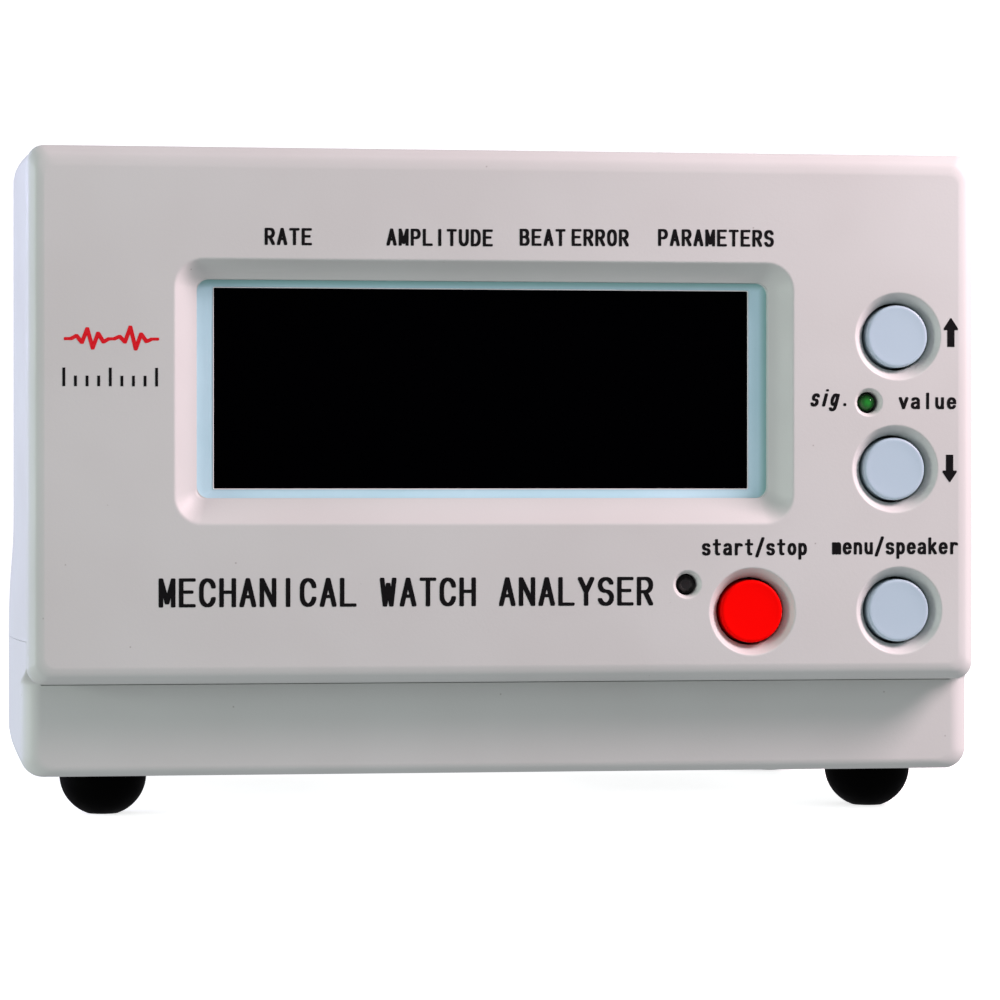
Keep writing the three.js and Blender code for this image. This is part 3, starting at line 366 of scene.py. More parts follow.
class Form:
    """A mesh made from rings of points."""

    def __init__(self):
        self.bm = bmesh.new()

    def ring(self, points, depth=None):
        """Vertices at (x, z) points at one depth, or at (x, depth, z) points."""
        return [self.bm.verts.new(at(p[0], depth, p[1]) if depth is not None else at(*p)) for p in points]

    def band(self, a, b, closed=True):
        """Quads from ring a to ring b."""
        count = len(a) if closed else len(a) - 1
        for i in range(count):
            j = (i + 1) % len(a)
            self.bm.faces.new((a[i], a[j], b[j], b[i]))

    def bands(self, rings, closed=True):
        for a, b in zip(rings, rings[1:]):
            self.band(a, b, closed)

    def face(self, ring):
        self.bm.faces.new(ring)

    def sheet(self, rings):
        """A flat face bounded by the first ring, with holes at the others."""
        edges = []
        for ring in rings:
            for i, v in enumerate(ring):
                w = ring[(i + 1) % len(ring)]
                edges.append(self.bm.edges.get((v, w)) or self.bm.edges.new((v, w)))
        bmesh.ops.triangle_fill(self.bm, use_beauty=True, use_dissolve=False, edges=edges)

    def turned(self, profile, centre, axis="depth", steps=64):
        """A profile of (radius, along) pairs turned about the depth or the height; radius 0 closes it on
        the axis."""
        rings = []
        for radius, along in profile:
            if radius == 0:
                p = (centre[0], along, centre[1]) if axis == "depth" else (centre[0], centre[1], along)
                rings.append([self.bm.verts.new(at(*p))])
                continue
            points = []
            for k in range(steps):
                a, b = radius * math.cos(math.tau * k / steps), radius * math.sin(math.tau * k / steps)
                points.append((centre[0] + a, along, centre[1] + b) if axis == "depth"
                              else (centre[0] + a, centre[1] + b, along))
            rings.append(self.ring(points))
        for a, b in zip(rings, rings[1:]):
            if len(a) == 1 and len(b) == 1:
                continue
            if len(a) == 1 or len(b) == 1:
                tip, rim = (a[0], b) if len(a) == 1 else (b[0], a)
                for i in range(steps):
                    self.bm.faces.new((tip, rim[i], rim[(i + 1) % steps]))
            else:
                self.band(a, b)

    def block(self, x0, x1, d0, d1, z0, z1):
        near = self.ring([(x0, z0), (x1, z0), (x1, z1), (x0, z1)], d0)
        far = self.ring([(x0, z0), (x1, z0), (x1, z1), (x0, z1)], d1)
        self.band(near, far)
        self.face(near)
        self.face(far[::-1])

    def take_behind(self, node, depth):
        """Adds what a CAD node has behind a depth, closed with a flat face where it is cut."""
        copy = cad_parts[node].data.copy()
        other = bmesh.new()
        other.from_mesh(copy)
        bmesh.ops.remove_doubles(other, verts=other.verts, dist=2e-6)
        cut = bmesh.ops.bisect_plane(other, geom=[*other.verts, *other.edges, *other.faces], dist=1e-7,
                                     plane_co=at(0, depth, 0), plane_no=(0, 1, 0), clear_inner=True)
        edges = [item for item in cut["geom_cut"] if isinstance(item, bmesh.types.BMEdge)]
        bmesh.ops.triangle_fill(other, use_beauty=True, use_dissolve=False, edges=edges)
        other.to_mesh(copy)
        other.free()
        self.bm.from_mesh(copy)
        bpy.data.meshes.remove(copy)

    def build(self, name, mat, angle=38, outward=True):
        bmesh.ops.remove_doubles(self.bm, verts=self.bm.verts, dist=1e-6)
        if outward:
            bmesh.ops.recalc_face_normals(self.bm, faces=self.bm.faces)
        mesh = bpy.data.meshes.new(name)
        self.bm.to_mesh(mesh)
        self.bm.free()
        obj = bpy.data.objects.new(name, mesh)
        bpy.context.scene.collection.objects.link(obj)
        mesh.materials.append(mat)
        smooth(obj, angle)
        return obj


def smooth(obj, angle=38):
    """Smooth shading that breaks at edges sharper than the angle."""
    mesh = obj.data
    mesh.polygons.foreach_set("use_smooth", [True] * len(mesh.polygons))
    bm = bmesh.new()
    bm.from_mesh(mesh)
    limit = math.radians(angle)
    for edge in bm.edges:
        edge.smooth = edge.is_manifold and edge.calc_face_angle(0) < limit
    bm.to_mesh(mesh)
    bm.free()


def finished(obj):
    """The object's modifiers made part of its mesh, with normals that follow its larger faces."""
    weigh = obj.modifiers.new("weigh", "WEIGHTED_NORMAL")
    weigh.keep_sharp = True
    weigh.weight = 80
    graph = bpy.context.evaluated_depsgraph_get()
    mesh = bpy.data.meshes.new_from_object(obj.evaluated_get(graph))
    obj.modifiers.clear()
    old, obj.data = obj.data, mesh
    bpy.data.meshes.remove(old)
    return obj


def fit(obj, body, slot, *nodes):
    """Rides the piece on its body and hides the nodes that it stands for; its slot is not used."""
    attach(obj, body)
    if nodes:
        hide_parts(*nodes)
    return obj


# ------------------------------------------------------------------ front panel
def sunk(depth):
    """A depth on the panel's front, eased back so that the ink stays inside the model's box."""
    return depth if depth >= PANEL_THICK else FACE + depth * (1 - FACE / PANEL_THICK)


def front_panel():
    """The front plate with its window, wells and lamp holes, and what stands behind it."""
    form = Form()

    def border(share, depth):
        return form.ring(rounded(EDGE_SIDE * share - PANEL_HALF, PANEL_HALF - EDGE_SIDE * share,
                                 PANEL_BOTTOM + EDGE_BOTTOM * share, PANEL_TOP - EDGE_TOP * share,
                                 PANEL_CORNER - 0.9 * max(share, 0)), depth)

    def window(share, depth, radius):
        x0, x1, z0, z1 = WINDOW
        return form.ring(rounded(x0 - BEVEL_SIDE * share, x1 + BEVEL_SIDE * share,
                                 z0 - BEVEL_BOTTOM * share, z1 + BEVEL_TOP * share, radius), depth)

    back = PANEL_THICK + 0.05
    # the soft border: a narrow round where it leaves the face, a flatter slope, then a round into the side
    profile = [(1.06, 0), (1.0, 0), (0.9, 0.04), (0.74, 0.13), (0.6, 0.25), (0.5, 0.38), (0.42, 0.56),
               (0.3, 0.9), (0.18, 1.27), (0.08, 1.65), (0.02, 2.0), (0, 2.3), (0, back)]
    outer = [border(share, sunk(depth)) for share, depth in profile]
    form.bands(outer)
    # the window's bevel: a tight round off the face, steep at first and flatter towards the opening
    cove = [(1.08, 0, 4.7), (1.03, 0, 4.6), (0.98, 0.06, 4.5), (0.93, 0.2, 4.3), (0.86, 0.5, 4.1),
            (0.7, 1.15, 3.6), (0.5, 1.85, 3.0), (0.3, 2.4, 2.4), (0.12, 2.78, 1.9), (0.04, 2.92, 1.65),
            (0.01, 3.0, 1.5), (0, back, 1.5)]
    opening = [window(share, sunk(depth), radius) for share, depth, radius in cove]
    form.bands(opening[::-1])
    holes, ends = [opening[0]], [opening[-1]]
    for x, z in BUTTONS.values():
        dish = [(7.42, 0), (7.3, 0), (7.2, 0.03), (7.1, 0.1), (7.0, 0.24), (6.5, 1.0), (6.0, 1.75),
                (5.78, 2.12), (5.66, 2.3), (5.6, 2.45), (5.6, back)]
        rings = [form.ring(circle(x, z, radius), sunk(depth)) for radius, depth in dish]
        form.bands(rings[::-1])
        holes.append(rings[0])
        ends.append(rings[-1])
    for x, z in LAMPS.values():
        sink = [(2.5, 0), (2.4, 0), (2.32, 0.03), (2.24, 0.1), (2.1, 0.3), (1.85, 0.75), (1.77, 0.95),
                (1.75, 1.1), (1.75, back)]
        rings = [form.ring(circle(x, z, radius, 40), sunk(depth)) for radius, depth in sink]
        form.bands(rings[::-1])
        holes.append(rings[0])
        ends.append(rings[-1])
    form.sheet([outer[0], *holes])
    form.sheet([outer[-1], *ends])
    # the posts, collars and skirt behind the plate, each let a little into it
    form.take_behind("front_panel", PANEL_THICK + 0.02)
    return form.build("front_panel_moulding", abs_case)


fit(finished(front_panel()), "case", "case_plastic", "front_panel")


# ------------------------------------------------------------------ case
def nose(depth):
    """How much of the sides' drawing-in is left at a depth: all of it at the cover's front edge."""
    return max(0.0, 1 - (depth - NOSE_START) / NOSE_RUN) ** 2


def cover_path(inset, depth=DEPTH):
    """The cover's outline from its right foot up, over and down to its left foot."""
    half, top = COVER_HALF - NOSE_COVER * nose(depth) - inset, CASE_TOP - inset
    foot = BASE_HALF - NOSE_TRAY * nose(depth) - inset
    corner = max(COVER_CORNER - inset, 0.5)
    low = SEAM + 0.06
    bend = (FLARE_TOP - SEAM) / 2
    right = [(foot, low)]
    for k in range(1, 17):
        t = k / 16
        p = [(foot, low), (foot, low + bend), (half, FLARE_TOP - bend), (half, FLARE_TOP)]
        weights = ((1 - t) ** 3, 3 * t * (1 - t) ** 2, 3 * t * t * (1 - t), t**3)
        right.append((sum(w * q[0] for w, q in zip(weights, p)), sum(w * q[1] for w, q in zip(weights, p))))
    right.append((half, top - corner - 0.4))
    for k in range(13):
        angle = math.pi / 2 * k / 12
        right.append((half - corner + corner * math.cos(angle), top - corner + corner * math.sin(angle)))
    right.append((half - corner - 0.4, top))
    return right + [(-x, z) for x, z in reversed(right)]


def tray_path(inset, depth=DEPTH):
    """The tray's outline from its right rim down, under and up to its left rim."""
    half, low = BASE_HALF - NOSE_TRAY * nose(depth) - inset, CASE_BOTTOM + inset
    radius = max(TRAY_EDGE - NOSE_EDGE * nose(depth) - inset, 0.5)
    right = [(half, SEAM), (half, 27.0)] + [(half, 26.0 - 0.5 * k) for k in range(9)]
    right += [(half, 20.0), (half, 16.0)]
    for k in range(15):
        angle = -math.pi / 2 * k / 14
        right.append((half - radius + radius * math.cos(angle), low + radius + radius * math.sin(angle)))
    right.append((half - radius - 0.5, low))
    return right + [(-x, z) for x, z in reversed(right)]


def narrowed(points, depth):
    return [(x * (1 - DRAFT * depth / DEPTH), depth, z) for x, z in points]


def wall_strip(form, path, stations, first=0, last=None):
    """A closed section of (inset, depth) stations run along a path, with its two ends closed."""
    rings = []
    for inset, depth in stations:
        points = narrowed(path(inset, depth), depth)
        rings.append(form.ring(points[first:last]))
    form.bands(rings + [rings[0]], closed=False)
    form.face([r[0] for r in rings])
    form.face([r[-1] for r in rings][::-1])


def top_cover():
    """The cover: a wall bent over from side to side, with ribs for the rear panel and screw posts."""
    form = Form()
    front = PANEL_THICK + GAP
    rim = 0.5
    outer = [(rim * i, front + rim * d) for i, d in fillet()]
    back = [(rim * i, DEPTH - rim * d) for i, d in reversed(fillet())]
    inner = [(WALL - 0.25, DEPTH), (WALL, DEPTH - 0.25), (WALL, front + 0.25), (WALL - 0.25, front)]
    run = (6, 9, 12.5, 17, 22, 29, 39.3)
    inner = inner[:2] + [(WALL, depth) for depth in reversed(run)] + inner[2:]
    wall_strip(form, cover_path, outer + [(0, depth) for depth in run] + [(0, DEPTH - 20)] + back + inner)
    # ribs each side of the rear panel
    for d0 in (REAR_FRONT - GAP - 1.7, REAR_BACK + GAP):
        stations = [(WALL - 0.3, d0), (WALL + 1.9, d0), (WALL + 2.0, d0 + 0.1), (WALL + 2.0, d0 + 1.6),
                    (WALL + 1.9, d0 + 1.7), (WALL - 0.3, d0 + 1.7)]
        wall_strip(form, cover_path, stations)
    for depth in CASE_SCREW_DEPTHS:
        for side in (-1, 1):
            profile = [(1.75, 31.2), (3.6, 31.2), (3.6, CASE_TOP - 1), (1.75, CASE_TOP - 1), (1.75, 31.2)]
            form.turned(profile, (side * CASE_SCREW_X, depth), "height", 32)
    return form.build("top_cover_moulding", abs_case)


def base_tray():
    """The tray's outer skin, with its set-back front wall and the cheeks that run forward beside the
    panel."""
    form = Form()
    steps = 7
    count = len(tray_path(0))
    rings = []
    rows = fillet(steps - 1)

    def placed(k, row):
        """A point of the rounded nose: its side round in plan, and a smaller round under the front wall."""
        share_in, share_back = rows[row]
        z = tray_path(0)[k][1]
        rise = min(max((z - CHIN_TOP) / 3.0, 0), 1)
        rise = rise * rise * (3 - 2 * rise)
        chin = CHIN_DEPTH + TRAY_CORNER * share_back
        depth = chin + (PANEL_THICK + GAP + 0.5 * share_back - chin) * rise
        x, z = tray_path(0, depth)[k]
        inset = share_in * (TRAY_CORNER + (0.5 - TRAY_CORNER) * rise)
        half = abs(tray_path(0, depth)[0][0])
        x *= 1 - inset / half
        under = TRAY_CORNER * share_back / 1.8
        low = 1.8 * (1 - math.sqrt(max(0.0, 1 - (1 - min(under, 1)) ** 2)))
        base = CASE_BOTTOM + TRAY_EDGE
        z = z if z > base else base - (base - z) * (1 - low / TRAY_EDGE)
        return (x * (1 - DRAFT * depth / DEPTH), depth, z)

    for row in range(steps):
        rings.append(form.ring([placed(k, row) for k in range(count)]))
    for depth in (12.5, 17, 22, 29, 39.3, DEPTH - 20, DEPTH - 0.4):
        rings.append(form.ring(narrowed(tray_path(0, depth), depth)))
    rings.append(form.ring(narrowed(tray_path(0.12), DEPTH - 0.12)))
    rings.append(form.ring(narrowed(tray_path(0.4), DEPTH)))
    columns = tray_path(0)
    form.bands(rings, closed=False)
    low = [v for v, (_, z) in zip(rings[0], columns) if z <= CHIN_TOP]
    form.face(low)
    obj = form.build("base_tray_moulding", abs_case)
    shell = obj.modifiers.new("wall", "SOLIDIFY")
    shell.thickness = WALL * MM
    shell.offset = -1
    shell.use_even_offset = True
    # cut the foot pockets, the screw bores and the vents
    cut = Form()
    for depth in FEET_DEPTHS:
        for side in (-1, 1):
            cut.turned([(0, 3), (7.5, 3), (7.5, CASE_BOTTOM + 0.6), (2.7, CASE_BOTTOM + 0.6), (2.7, 12),
                        (0, 12)],
                       (side * FEET_X, depth), "height", 48)
    for depth in CASE_SCREW_DEPTHS:
        for side in (-1, 1):
            cut.turned([(0, 3), (3.6, 3), (3.6, 11), (0, 11)], (side * CASE_SCREW_X, depth), "height", 40)
    for side in (-1, 1):
        for n in range(6):
            cut.block(side * 36 - 14, side * 36 + 14, 58 + 7 * n, 60.5 + 7 * n, 3, 12)
    cutter = cut.build("tray_cutter", abs_case)
    carve = obj.modifiers.new("carve", "BOOLEAN")
    carve.operation = "DIFFERENCE"
    carve.solver = "EXACT"
    carve.object = cutter
    graph = bpy.context.evaluated_depsgraph_get()
    mesh = bpy.data.meshes.new_from_object(obj.evaluated_get(graph))
    obj.modifiers.clear()
    bpy.data.objects.remove(cutter)
    # bosses round the screws, standoffs for the main board and ribs for the rear panel
    extra = Form()
    extra.bm.from_mesh(mesh)
    for depth in CASE_SCREW_DEPTHS:
        for side in (-1, 1):
            extra.turned([(3.6, 8.2), (3.6, 12.1), (1.9, 12.1), (1.9, 30.6), (4.2, 30.6), (4.2, 8.2),
                          (3.6, 8.2)],
                         (side * CASE_SCREW_X, depth), "height", 40)
    for x in (-37.5, 51.5):
        for depth in (52.5, 107.5):
            extra.turned([(0, 10.5), (1.35, 10.5), (1.35, 15.2), (3, 15.2), (3, 8.2), (0, 8.2)], (x, depth),
                         "height", 32)
    for d0 in (REAR_FRONT - GAP - 1.7, REAR_BACK + GAP):
        stations = [(WALL - 0.3, d0), (WALL + 1.9, d0), (WALL + 2.0, d0 + 0.1), (WALL + 2.0, d0 + 1.6),
                    (WALL + 1.9, d0 + 1.7), (WALL - 0.3, d0 + 1.7)]
        wall_strip(extra, tray_path, stations)
    bpy.data.meshes.remove(mesh)
    bpy.data.objects.remove(obj)
    return extra.build("base_tray_moulding", abs_case)


def rear_panel():
    """The flat rear panel with the switch's opening, two socket holes and the speaker's grille."""
    form = Form()
    edge = 0.25

    def outline(inset, depth):
        half, corner = REAR_HALF - inset, 4.0
        points = rounded(-half, half, REAR_BOTTOM + inset, REAR_TOP - inset, corner, 8)
        return form.ring(points, depth)

    def hole(points_at):
        """An opening right through the plate, from its inner to its outer face, given as a function of
        growth."""
        rings = [form.ring(points_at(edge + 0.1), REAR_FRONT), form.ring(points_at(edge), REAR_FRONT),
                 form.ring(points_at(0), REAR_FRONT + edge), form.ring(points_at(0), REAR_BACK - edge),
                 form.ring(points_at(edge), REAR_BACK), form.ring(points_at(edge + 0.1), REAR_BACK)]
        form.bands(rings[::-1])
        return rings[0], rings[-1]

    rims = [outline(i, d) for i, d in ((edge + 0.1, REAR_FRONT), (edge, REAR_FRONT), (0, REAR_FRONT + edge),
                                       (0, REAR_BACK - edge), (edge, REAR_BACK), (edge + 0.1, REAR_BACK))]
    form.bands(rims)
    through = []
    x, z = POWER_SWITCH
    through.append(hole(lambda g: rounded(x - 6.8 - g, x + 6.8 + g, z - 9.8 - g, z + 9.8 + g, 0.6 + g, 4)))
    for (jx, jz), radius in ((POWER_SOCKET, 4.3), (SENSOR_SOCKET, 3.3)):
        through.append(hole(lambda g, jx=jx, jz=jz, radius=radius: circle(jx, jz, radius + g, 40)))
    for row in range(-2, 3):
        for column in range(-2, 3):
            dx, dz = column * GRILLE_PITCH, row * GRILLE_PITCH
            if math.hypot(dx, dz) < 13:
                spot = SPEAKER_X + dx, SPEAKER_Z + dz
                through.append(hole(lambda g, spot=spot: circle(*spot, 1.3 + g, 20)))
    form.sheet([rims[0], *[near for near, _ in through]])
    form.sheet([rims[-1], *[far for _, far in through]])
    return form.build("rear_panel_moulding", abs_case)


fit(finished(top_cover()), "case", "case_plastic", "top_cover")
fit(finished(base_tray()), "case", "case_plastic", "base_tray")
fit(finished(rear_panel()), "case", "case_plastic", "rear_panel")


# ------------------------------------------------------------------ buttons, lamps, feet
def button_cap(key, mat, slot):
    """One round cap, turned about the way it is pressed."""
    x, z = BUTTONS[key]
    form = Form()
    # a barely dished face, a soft rim, straight sides and a round socket for the plunger behind
    profile = [(0, 0.76), (2.0, 0.755), (3.6, 0.74), (4.3, 0.72), (4.6, 0.7), (4.78, 0.71), (4.92, 0.76),
               (5.04, 0.86), (5.12, 1.0), (5.15, 1.2), (5.15, 6.9), (5.08, 7.1), (4.9, 7.2), (3.3, 7.2),
               (3.3, 5.1), (0, 5.1)]
    form.turned(profile, (x, z), steps=96)
    cap = form.build(f"{key}_button_face", mat, 50)
    fit(finished(cap), f"{key}_button", slot, f"{key}_button_cap")


for key in BUTTONS:
    if key == "start":
        button_cap(key, abs_red, "start_cap_plastic")
    else:
        button_cap(key, abs_cap, "cap_plastic")


def lamp(key, mat, slot):
    """One domed epoxy lamp with its flange and two leads."""
    x, z = LAMPS[key]
    form = Form()
    sweep = [math.pi / 2 * k / 12 for k in range(13)]
    dome = [(1.52 * math.sin(a), 0.82 + 1.45 * (1 - math.cos(a))) for a in sweep]
    dome[0] = (0, 0.82)
    form.turned(dome + [(1.52, 5.1), (1.9, 5.15), (1.92, 5.3), (1.92, 6.1), (1.85, 6.2), (0, 6.2)], (x, z),
                steps=48)
    for side in (-1, 1):
        form.block(x + side * 1.27 - 0.25, x + side * 1.27 + 0.25, 6.0, 13.1, z - 0.25, z + 0.25)
    obj = form.build(f"{key}_lamp_epoxy", mat)
    fit(finished(obj), "case", slot, f"{key}_lamp")


lamp("signal", lamp_green, "lamp_green")
lamp("power", lamp_dark, "lamp_dark")


def foot(name, x, depth):
    """One domed rubber foot with the barbed stem that holds it in the tray."""
    form = Form()
    radius, flat = 7.2, 2.5
    top = CASE_BOTTOM + 0.3
    start = math.asin(flat / radius)
    dome = []
    for k in range(17):
        a = start + (math.pi / 2 - start) * k / 16
        rise = (math.cos(start) - math.cos(a)) / math.cos(start)
        dome.append((radius * math.sin(a), rise * (top - 0.9)))
    # the small flat is eased into the dome
    profile = [(0, 0.0), (flat * 0.8, 0.0), (flat * 1.02, 0.03), *dome[2:], (radius, top - 0.15),
               (radius - 0.15, top), (2.4, top), (2.4, CASE_BOTTOM + WALL + 0.3),
               (3.1, CASE_BOTTOM + WALL + 0.35), (1.7, 12.9), (0, 12.9)]
    form.turned(profile, (x, depth), "height", 64)
    fit(finished(form.build(f"{name}_foot_dome", rubber_black, 60)), "case", "foot_rubber", f"{name}_foot")


for row, depth in zip(("front", "rear"), FEET_DEPTHS):
    for side, x in (("left", -FEET_X), ("right", FEET_X)):
        foot(f"{row}_{side}", x, depth)


# ------------------------------------------------------------------ display
def slab(name, mat, box, d0, d1, radius, soft=0.12):
    """A flat plate between two depths, with rounded corners and its front edge eased."""
    form = Form()
    x0, x1, z0, z1 = box
    shares = fillet(3)
    rings = [form.ring(rounded(x0 + i * soft, x1 - i * soft, z0 + i * soft, z1 - i * soft, radius, 5),
                       d0 + d * soft)
             for i, d in shares]
    rings += [form.ring(rounded(x0, x1, z0, z1, radius, 5), d1)]
    form.bands(rings)
    form.face(rings[0])
    form.face(rings[-1][::-1])
    return form.build(name, mat)


glass_low, glass_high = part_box("display_glass")
glass_box = (glass_low.x / MM, glass_high.x / MM, glass_low.z / MM, glass_high.z / MM)
glass_front = glass_low.y / MM + DEPTH / 2
glass_back = glass_high.y / MM + DEPTH / 2
fit(finished(slab("display_glass_plate", display_pale, glass_box, glass_front, glass_back, 0.4)), "case",
    "display_glass", "display_glass")


def rim(name, mat, outer, inner, depth, outer_corner, inner_corner, soft):
    """A flat frame between two outlines, its front at a depth and its inner edge eased, over the
    display's glass."""
    form = Form()
    rings = [form.ring(rounded(*outer, outer_corner, 6), glass_front + 0.01),
             form.ring(rounded(*outer, outer_corner, 6), depth)]
    x0, x1, z0, z1 = inner
    for share_in, share_back in fillet(3):
        grow = soft * share_in
        rings.append(form.ring(rounded(x0 - grow, x1 + grow, z0 - grow, z1 + grow, inner_corner + grow, 6),
                               depth + soft * share_back))
    rings.append(form.ring(rounded(*inner, inner_corner, 6), glass_front + 0.01))
    form.bands(rings + [rings[0]])
    return form.build(name, mat)


def grown_box(box, by):
    """A box (left, right, bottom, top) made larger all round."""
    return box[0] - by, box[1] + by, box[2] - by, box[3] + by


pale_frame = rim("display_pale_frame", display_pale, grown_box(WINDOW, -0.02), grown_box(SCREEN, 0.14), 4.3,
                 1.48, 0.3, 0.1)
fit(finished(pale_frame), "case", "display_glass")
# painted highlight: a thin white frame round the dark area stands in for the light caught on the display
# glass's edge
painted_highlight_edge = rim("display_painted_highlight_edge", acrylic_milky, grown_box(SCREEN, 0.13), grown_box(SCREEN, -0.01),
                 4.24, 0.3, 0.2, 0.05)
fit(finished(painted_highlight_edge), "case", "display_glass")
fit(finished(slab("display_dark_area", display_black, SCREEN, 4.4, glass_front + 0.02, 0.25, 0.06)), "case",
    "display_glass")


# ------------------------------------------------------------------ printed legends
# Pen strokes of a plain monospaced letter, on a grid one wide and one high. A stroke is a list of points
# and of arcs, an arc being (centre x, centre y, radius x, radius y, first angle, last angle).
LETTERS = {
    "A": [[(0, 0), (0.5, 1), (1, 0)], [(0.2, 0.34), (0.8, 0.34)]],
    "B": [[(0, 0), (0, 1), (0.55, 1), (0.55, 0.76, 0.38, 0.24, 90, -90), (0, 0.52)],
          [(0.55, 0.52), (0.58, 0.26, 0.42, 0.26, 90, -90), (0, 0)]],
    "C": [[(0.5, 0.66, 0.5, 0.34, 12, 180), (0.5, 0.34, 0.5, 0.34, 180, 348)]],
    "D": [[(0, 0), (0, 1), (0.42, 1), (0.42, 0.62, 0.58, 0.38, 90, 0), (0.42, 0.38, 0.58, 0.38, 0, -90),
           (0, 0)]],
    "E": [[(1, 1), (0, 1), (0, 0), (1, 0)], [(0, 0.53), (0.82, 0.53)]],
    "H": [[(0, 0), (0, 1)], [(1, 0), (1, 1)], [(0, 0.52), (1, 0.52)]],
    "I": [[(0.5, 0), (0.5, 1)]],
    "L": [[(0, 1), (0, 0), (1, 0)]],
    "M": [[(0, 0), (0, 1), (0.5, 0.12), (1, 1), (1, 0)]],
    "N": [[(0, 0), (0, 1), (1, 0), (1, 1)]],
    "O": [[(0.5, 0.64, 0.5, 0.36, 0, 180), (0.5, 0.36, 0.5, 0.36, 180, 360), (1, 0.64)]],
    "P": [[(0, 0), (0, 1), (0.58, 1), (0.58, 0.73, 0.42, 0.27, 90, -90), (0, 0.46)]],
    "R": [[(0, 0), (0, 1), (0.58, 1), (0.58, 0.74, 0.42, 0.26, 90, -90), (0, 0.48)], [(0.5, 0.48), (1, 0)]],
    "S": [[(0.5, 0.75, 0.48, 0.25, 18, 250), (0.5, 0.25, 0.5, 0.26, 70, -162)]],
    "T": [[(0, 1), (1, 1)], [(0.5, 1), (0.5, 0)]],
    "U": [[(0, 1), (0.5, 0.34, 0.5, 0.34, 180, 360), (1, 1)]],
    "W": [[(0, 1), (0.24, 0), (0.5, 0.8), (0.76, 0), (1, 1)]],
    "Y": [[(0, 1), (0.5, 0.48), (1, 1)], [(0.5, 0.48), (0.5, 0)]],
    "a": [[(0.48, 0.48, 0.44, 0.2, 150, 0), (0.94, 0)],
          [(0.92, 0.38), (0.4, 0.36), (0.4, 0.18, 0.4, 0.18, 90, 270), (0.62, 0.02), (0.92, 0.16)]],
    "e": [[(0, 0.36), (1, 0.36), (0.5, 0.36, 0.5, 0.32, 0, 180), (0.5, 0.32, 0.5, 0.32, 180, 325)]],
    "g": [[(0.46, 0.36, 0.44, 0.32, 0, 360)], [(0.92, 0.66), (0.46, -0.1, 0.44, 0.2, 0, -150)]],
    "i": [[(0.5, 0), (0.5, 0.68)], [(0.5, 0.95)]],
    "k": [[(0.04, 0), (0.04, 1)], [(0.88, 0.68), (0.04, 0.24)], [(0.36, 0.4), (0.96, 0)]],
    "l": [[(0.5, 1), (0.5, 0)]],
    "m": [[(0, 0), (0, 0.68)], [(0, 0.46), (0.25, 0.48, 0.25, 0.2, 180, 0), (0.5, 0)],
          [(0.5, 0.46), (0.75, 0.48, 0.25, 0.2, 180, 0), (1, 0)]],
    "n": [[(0.06, 0), (0.06, 0.68)], [(0.06, 0.42), (0.5, 0.42, 0.44, 0.26, 180, 0), (0.94, 0)]],
    "o": [[(0.5, 0.34, 0.48, 0.34, 0, 360)]],
    "p": [[(0.04, -0.3), (0.04, 0.68)], [(0.5, 0.34, 0.46, 0.34, 0, 360)]],
    "r": [[(0.14, 0), (0.14, 0.68)], [(0.14, 0.36), (0.64, 0.36, 0.5, 0.32, 180, 50)]],
    "s": [[(0.5, 0.51, 0.44, 0.17, 20, 250), (0.5, 0.17, 0.46, 0.18, 70, -160)]],
    "t": [[(0.42, 0.95), (0.42, 0.2), (0.68, 0.2, 0.26, 0.2, 180, 290)], [(0.06, 0.68), (0.9, 0.68)]],
    "u": [[(0.06, 0.68), (0.5, 0.26, 0.44, 0.26, 180, 360), (0.94, 0.3)], [(0.94, 0.68), (0.94, 0)]],
    "v": [[(0, 0.68), (0.5, 0), (1, 0.68)]],
    "/": [[(0.0, -0.14), (1.0, 1.08)]],
    ".": [[(0.3, 0.03)]],
}


def skeleton(letter):
    """The letter's strokes as plain lists of points."""
    for stroke in LETTERS[letter]:
        points = []
        for item in stroke:
            if len(item) == 2:
                points.append(item)
                continue
            cx, cy, rx, ry, first, last = item
            steps = max(3, round(abs(last - first) / 22))
            for k in range(steps + 1):
                angle = math.radians(first + (last - first) * k / steps)
                points.append((cx + rx * math.cos(angle), cy + ry * math.sin(angle)))
        yield points


def nib(wide, high):
    """A pen's print: a rectangle with well rounded corners."""
    return [(wide / 2 * math.copysign(abs(math.cos(a)) ** 0.55, math.cos(a)),
             high / 2 * math.copysign(abs(math.sin(a)) ** 0.55, math.sin(a)))
            for a in [math.tau * (k + 0.5) / 12 for k in range(12)]]


def printed(form, patches):
    """Overlapping flat patches, in x and z, joined into one film of ink that stands on the panel's face."""
    corners, faces = [], []
    for patch in patches:
        faces.append(list(range(len(corners), len(corners) + len(patch))))
        corners += [Vector(p) for p in patch]
    points, _, triangles, _, _, owners = delaunay_2d_cdt(corners, [], faces, 1, 1e-4)
    triangles = [t for t, owner in zip(triangles, owners) if owner]
    used = sorted({i for t in triangles for i in t})
    top = {i: form.bm.verts.new(at(points[i].x, 0, points[i].y)) for i in used}
    low = {i: form.bm.verts.new(at(points[i].x, FACE + 0.02, points[i].y)) for i in used}
    sides = {}
    for t in triangles:
        form.bm.faces.new([top[i] for i in t])
        form.bm.faces.new([low[i] for i in reversed(t)])
        for a, b in zip(t, t[1:] + t[:1]):
            sides[frozenset((a, b))] = None if frozenset((a, b)) in sides else (a, b)
    for a, b in filter(None, sides.values()):
        form.bm.faces.new((top[b], top[a], low[a], low[b]))


def hull(points):
    """The points of the outline that closes round all the points."""
    return [points[i] for i in convex_hull_2d(points)]


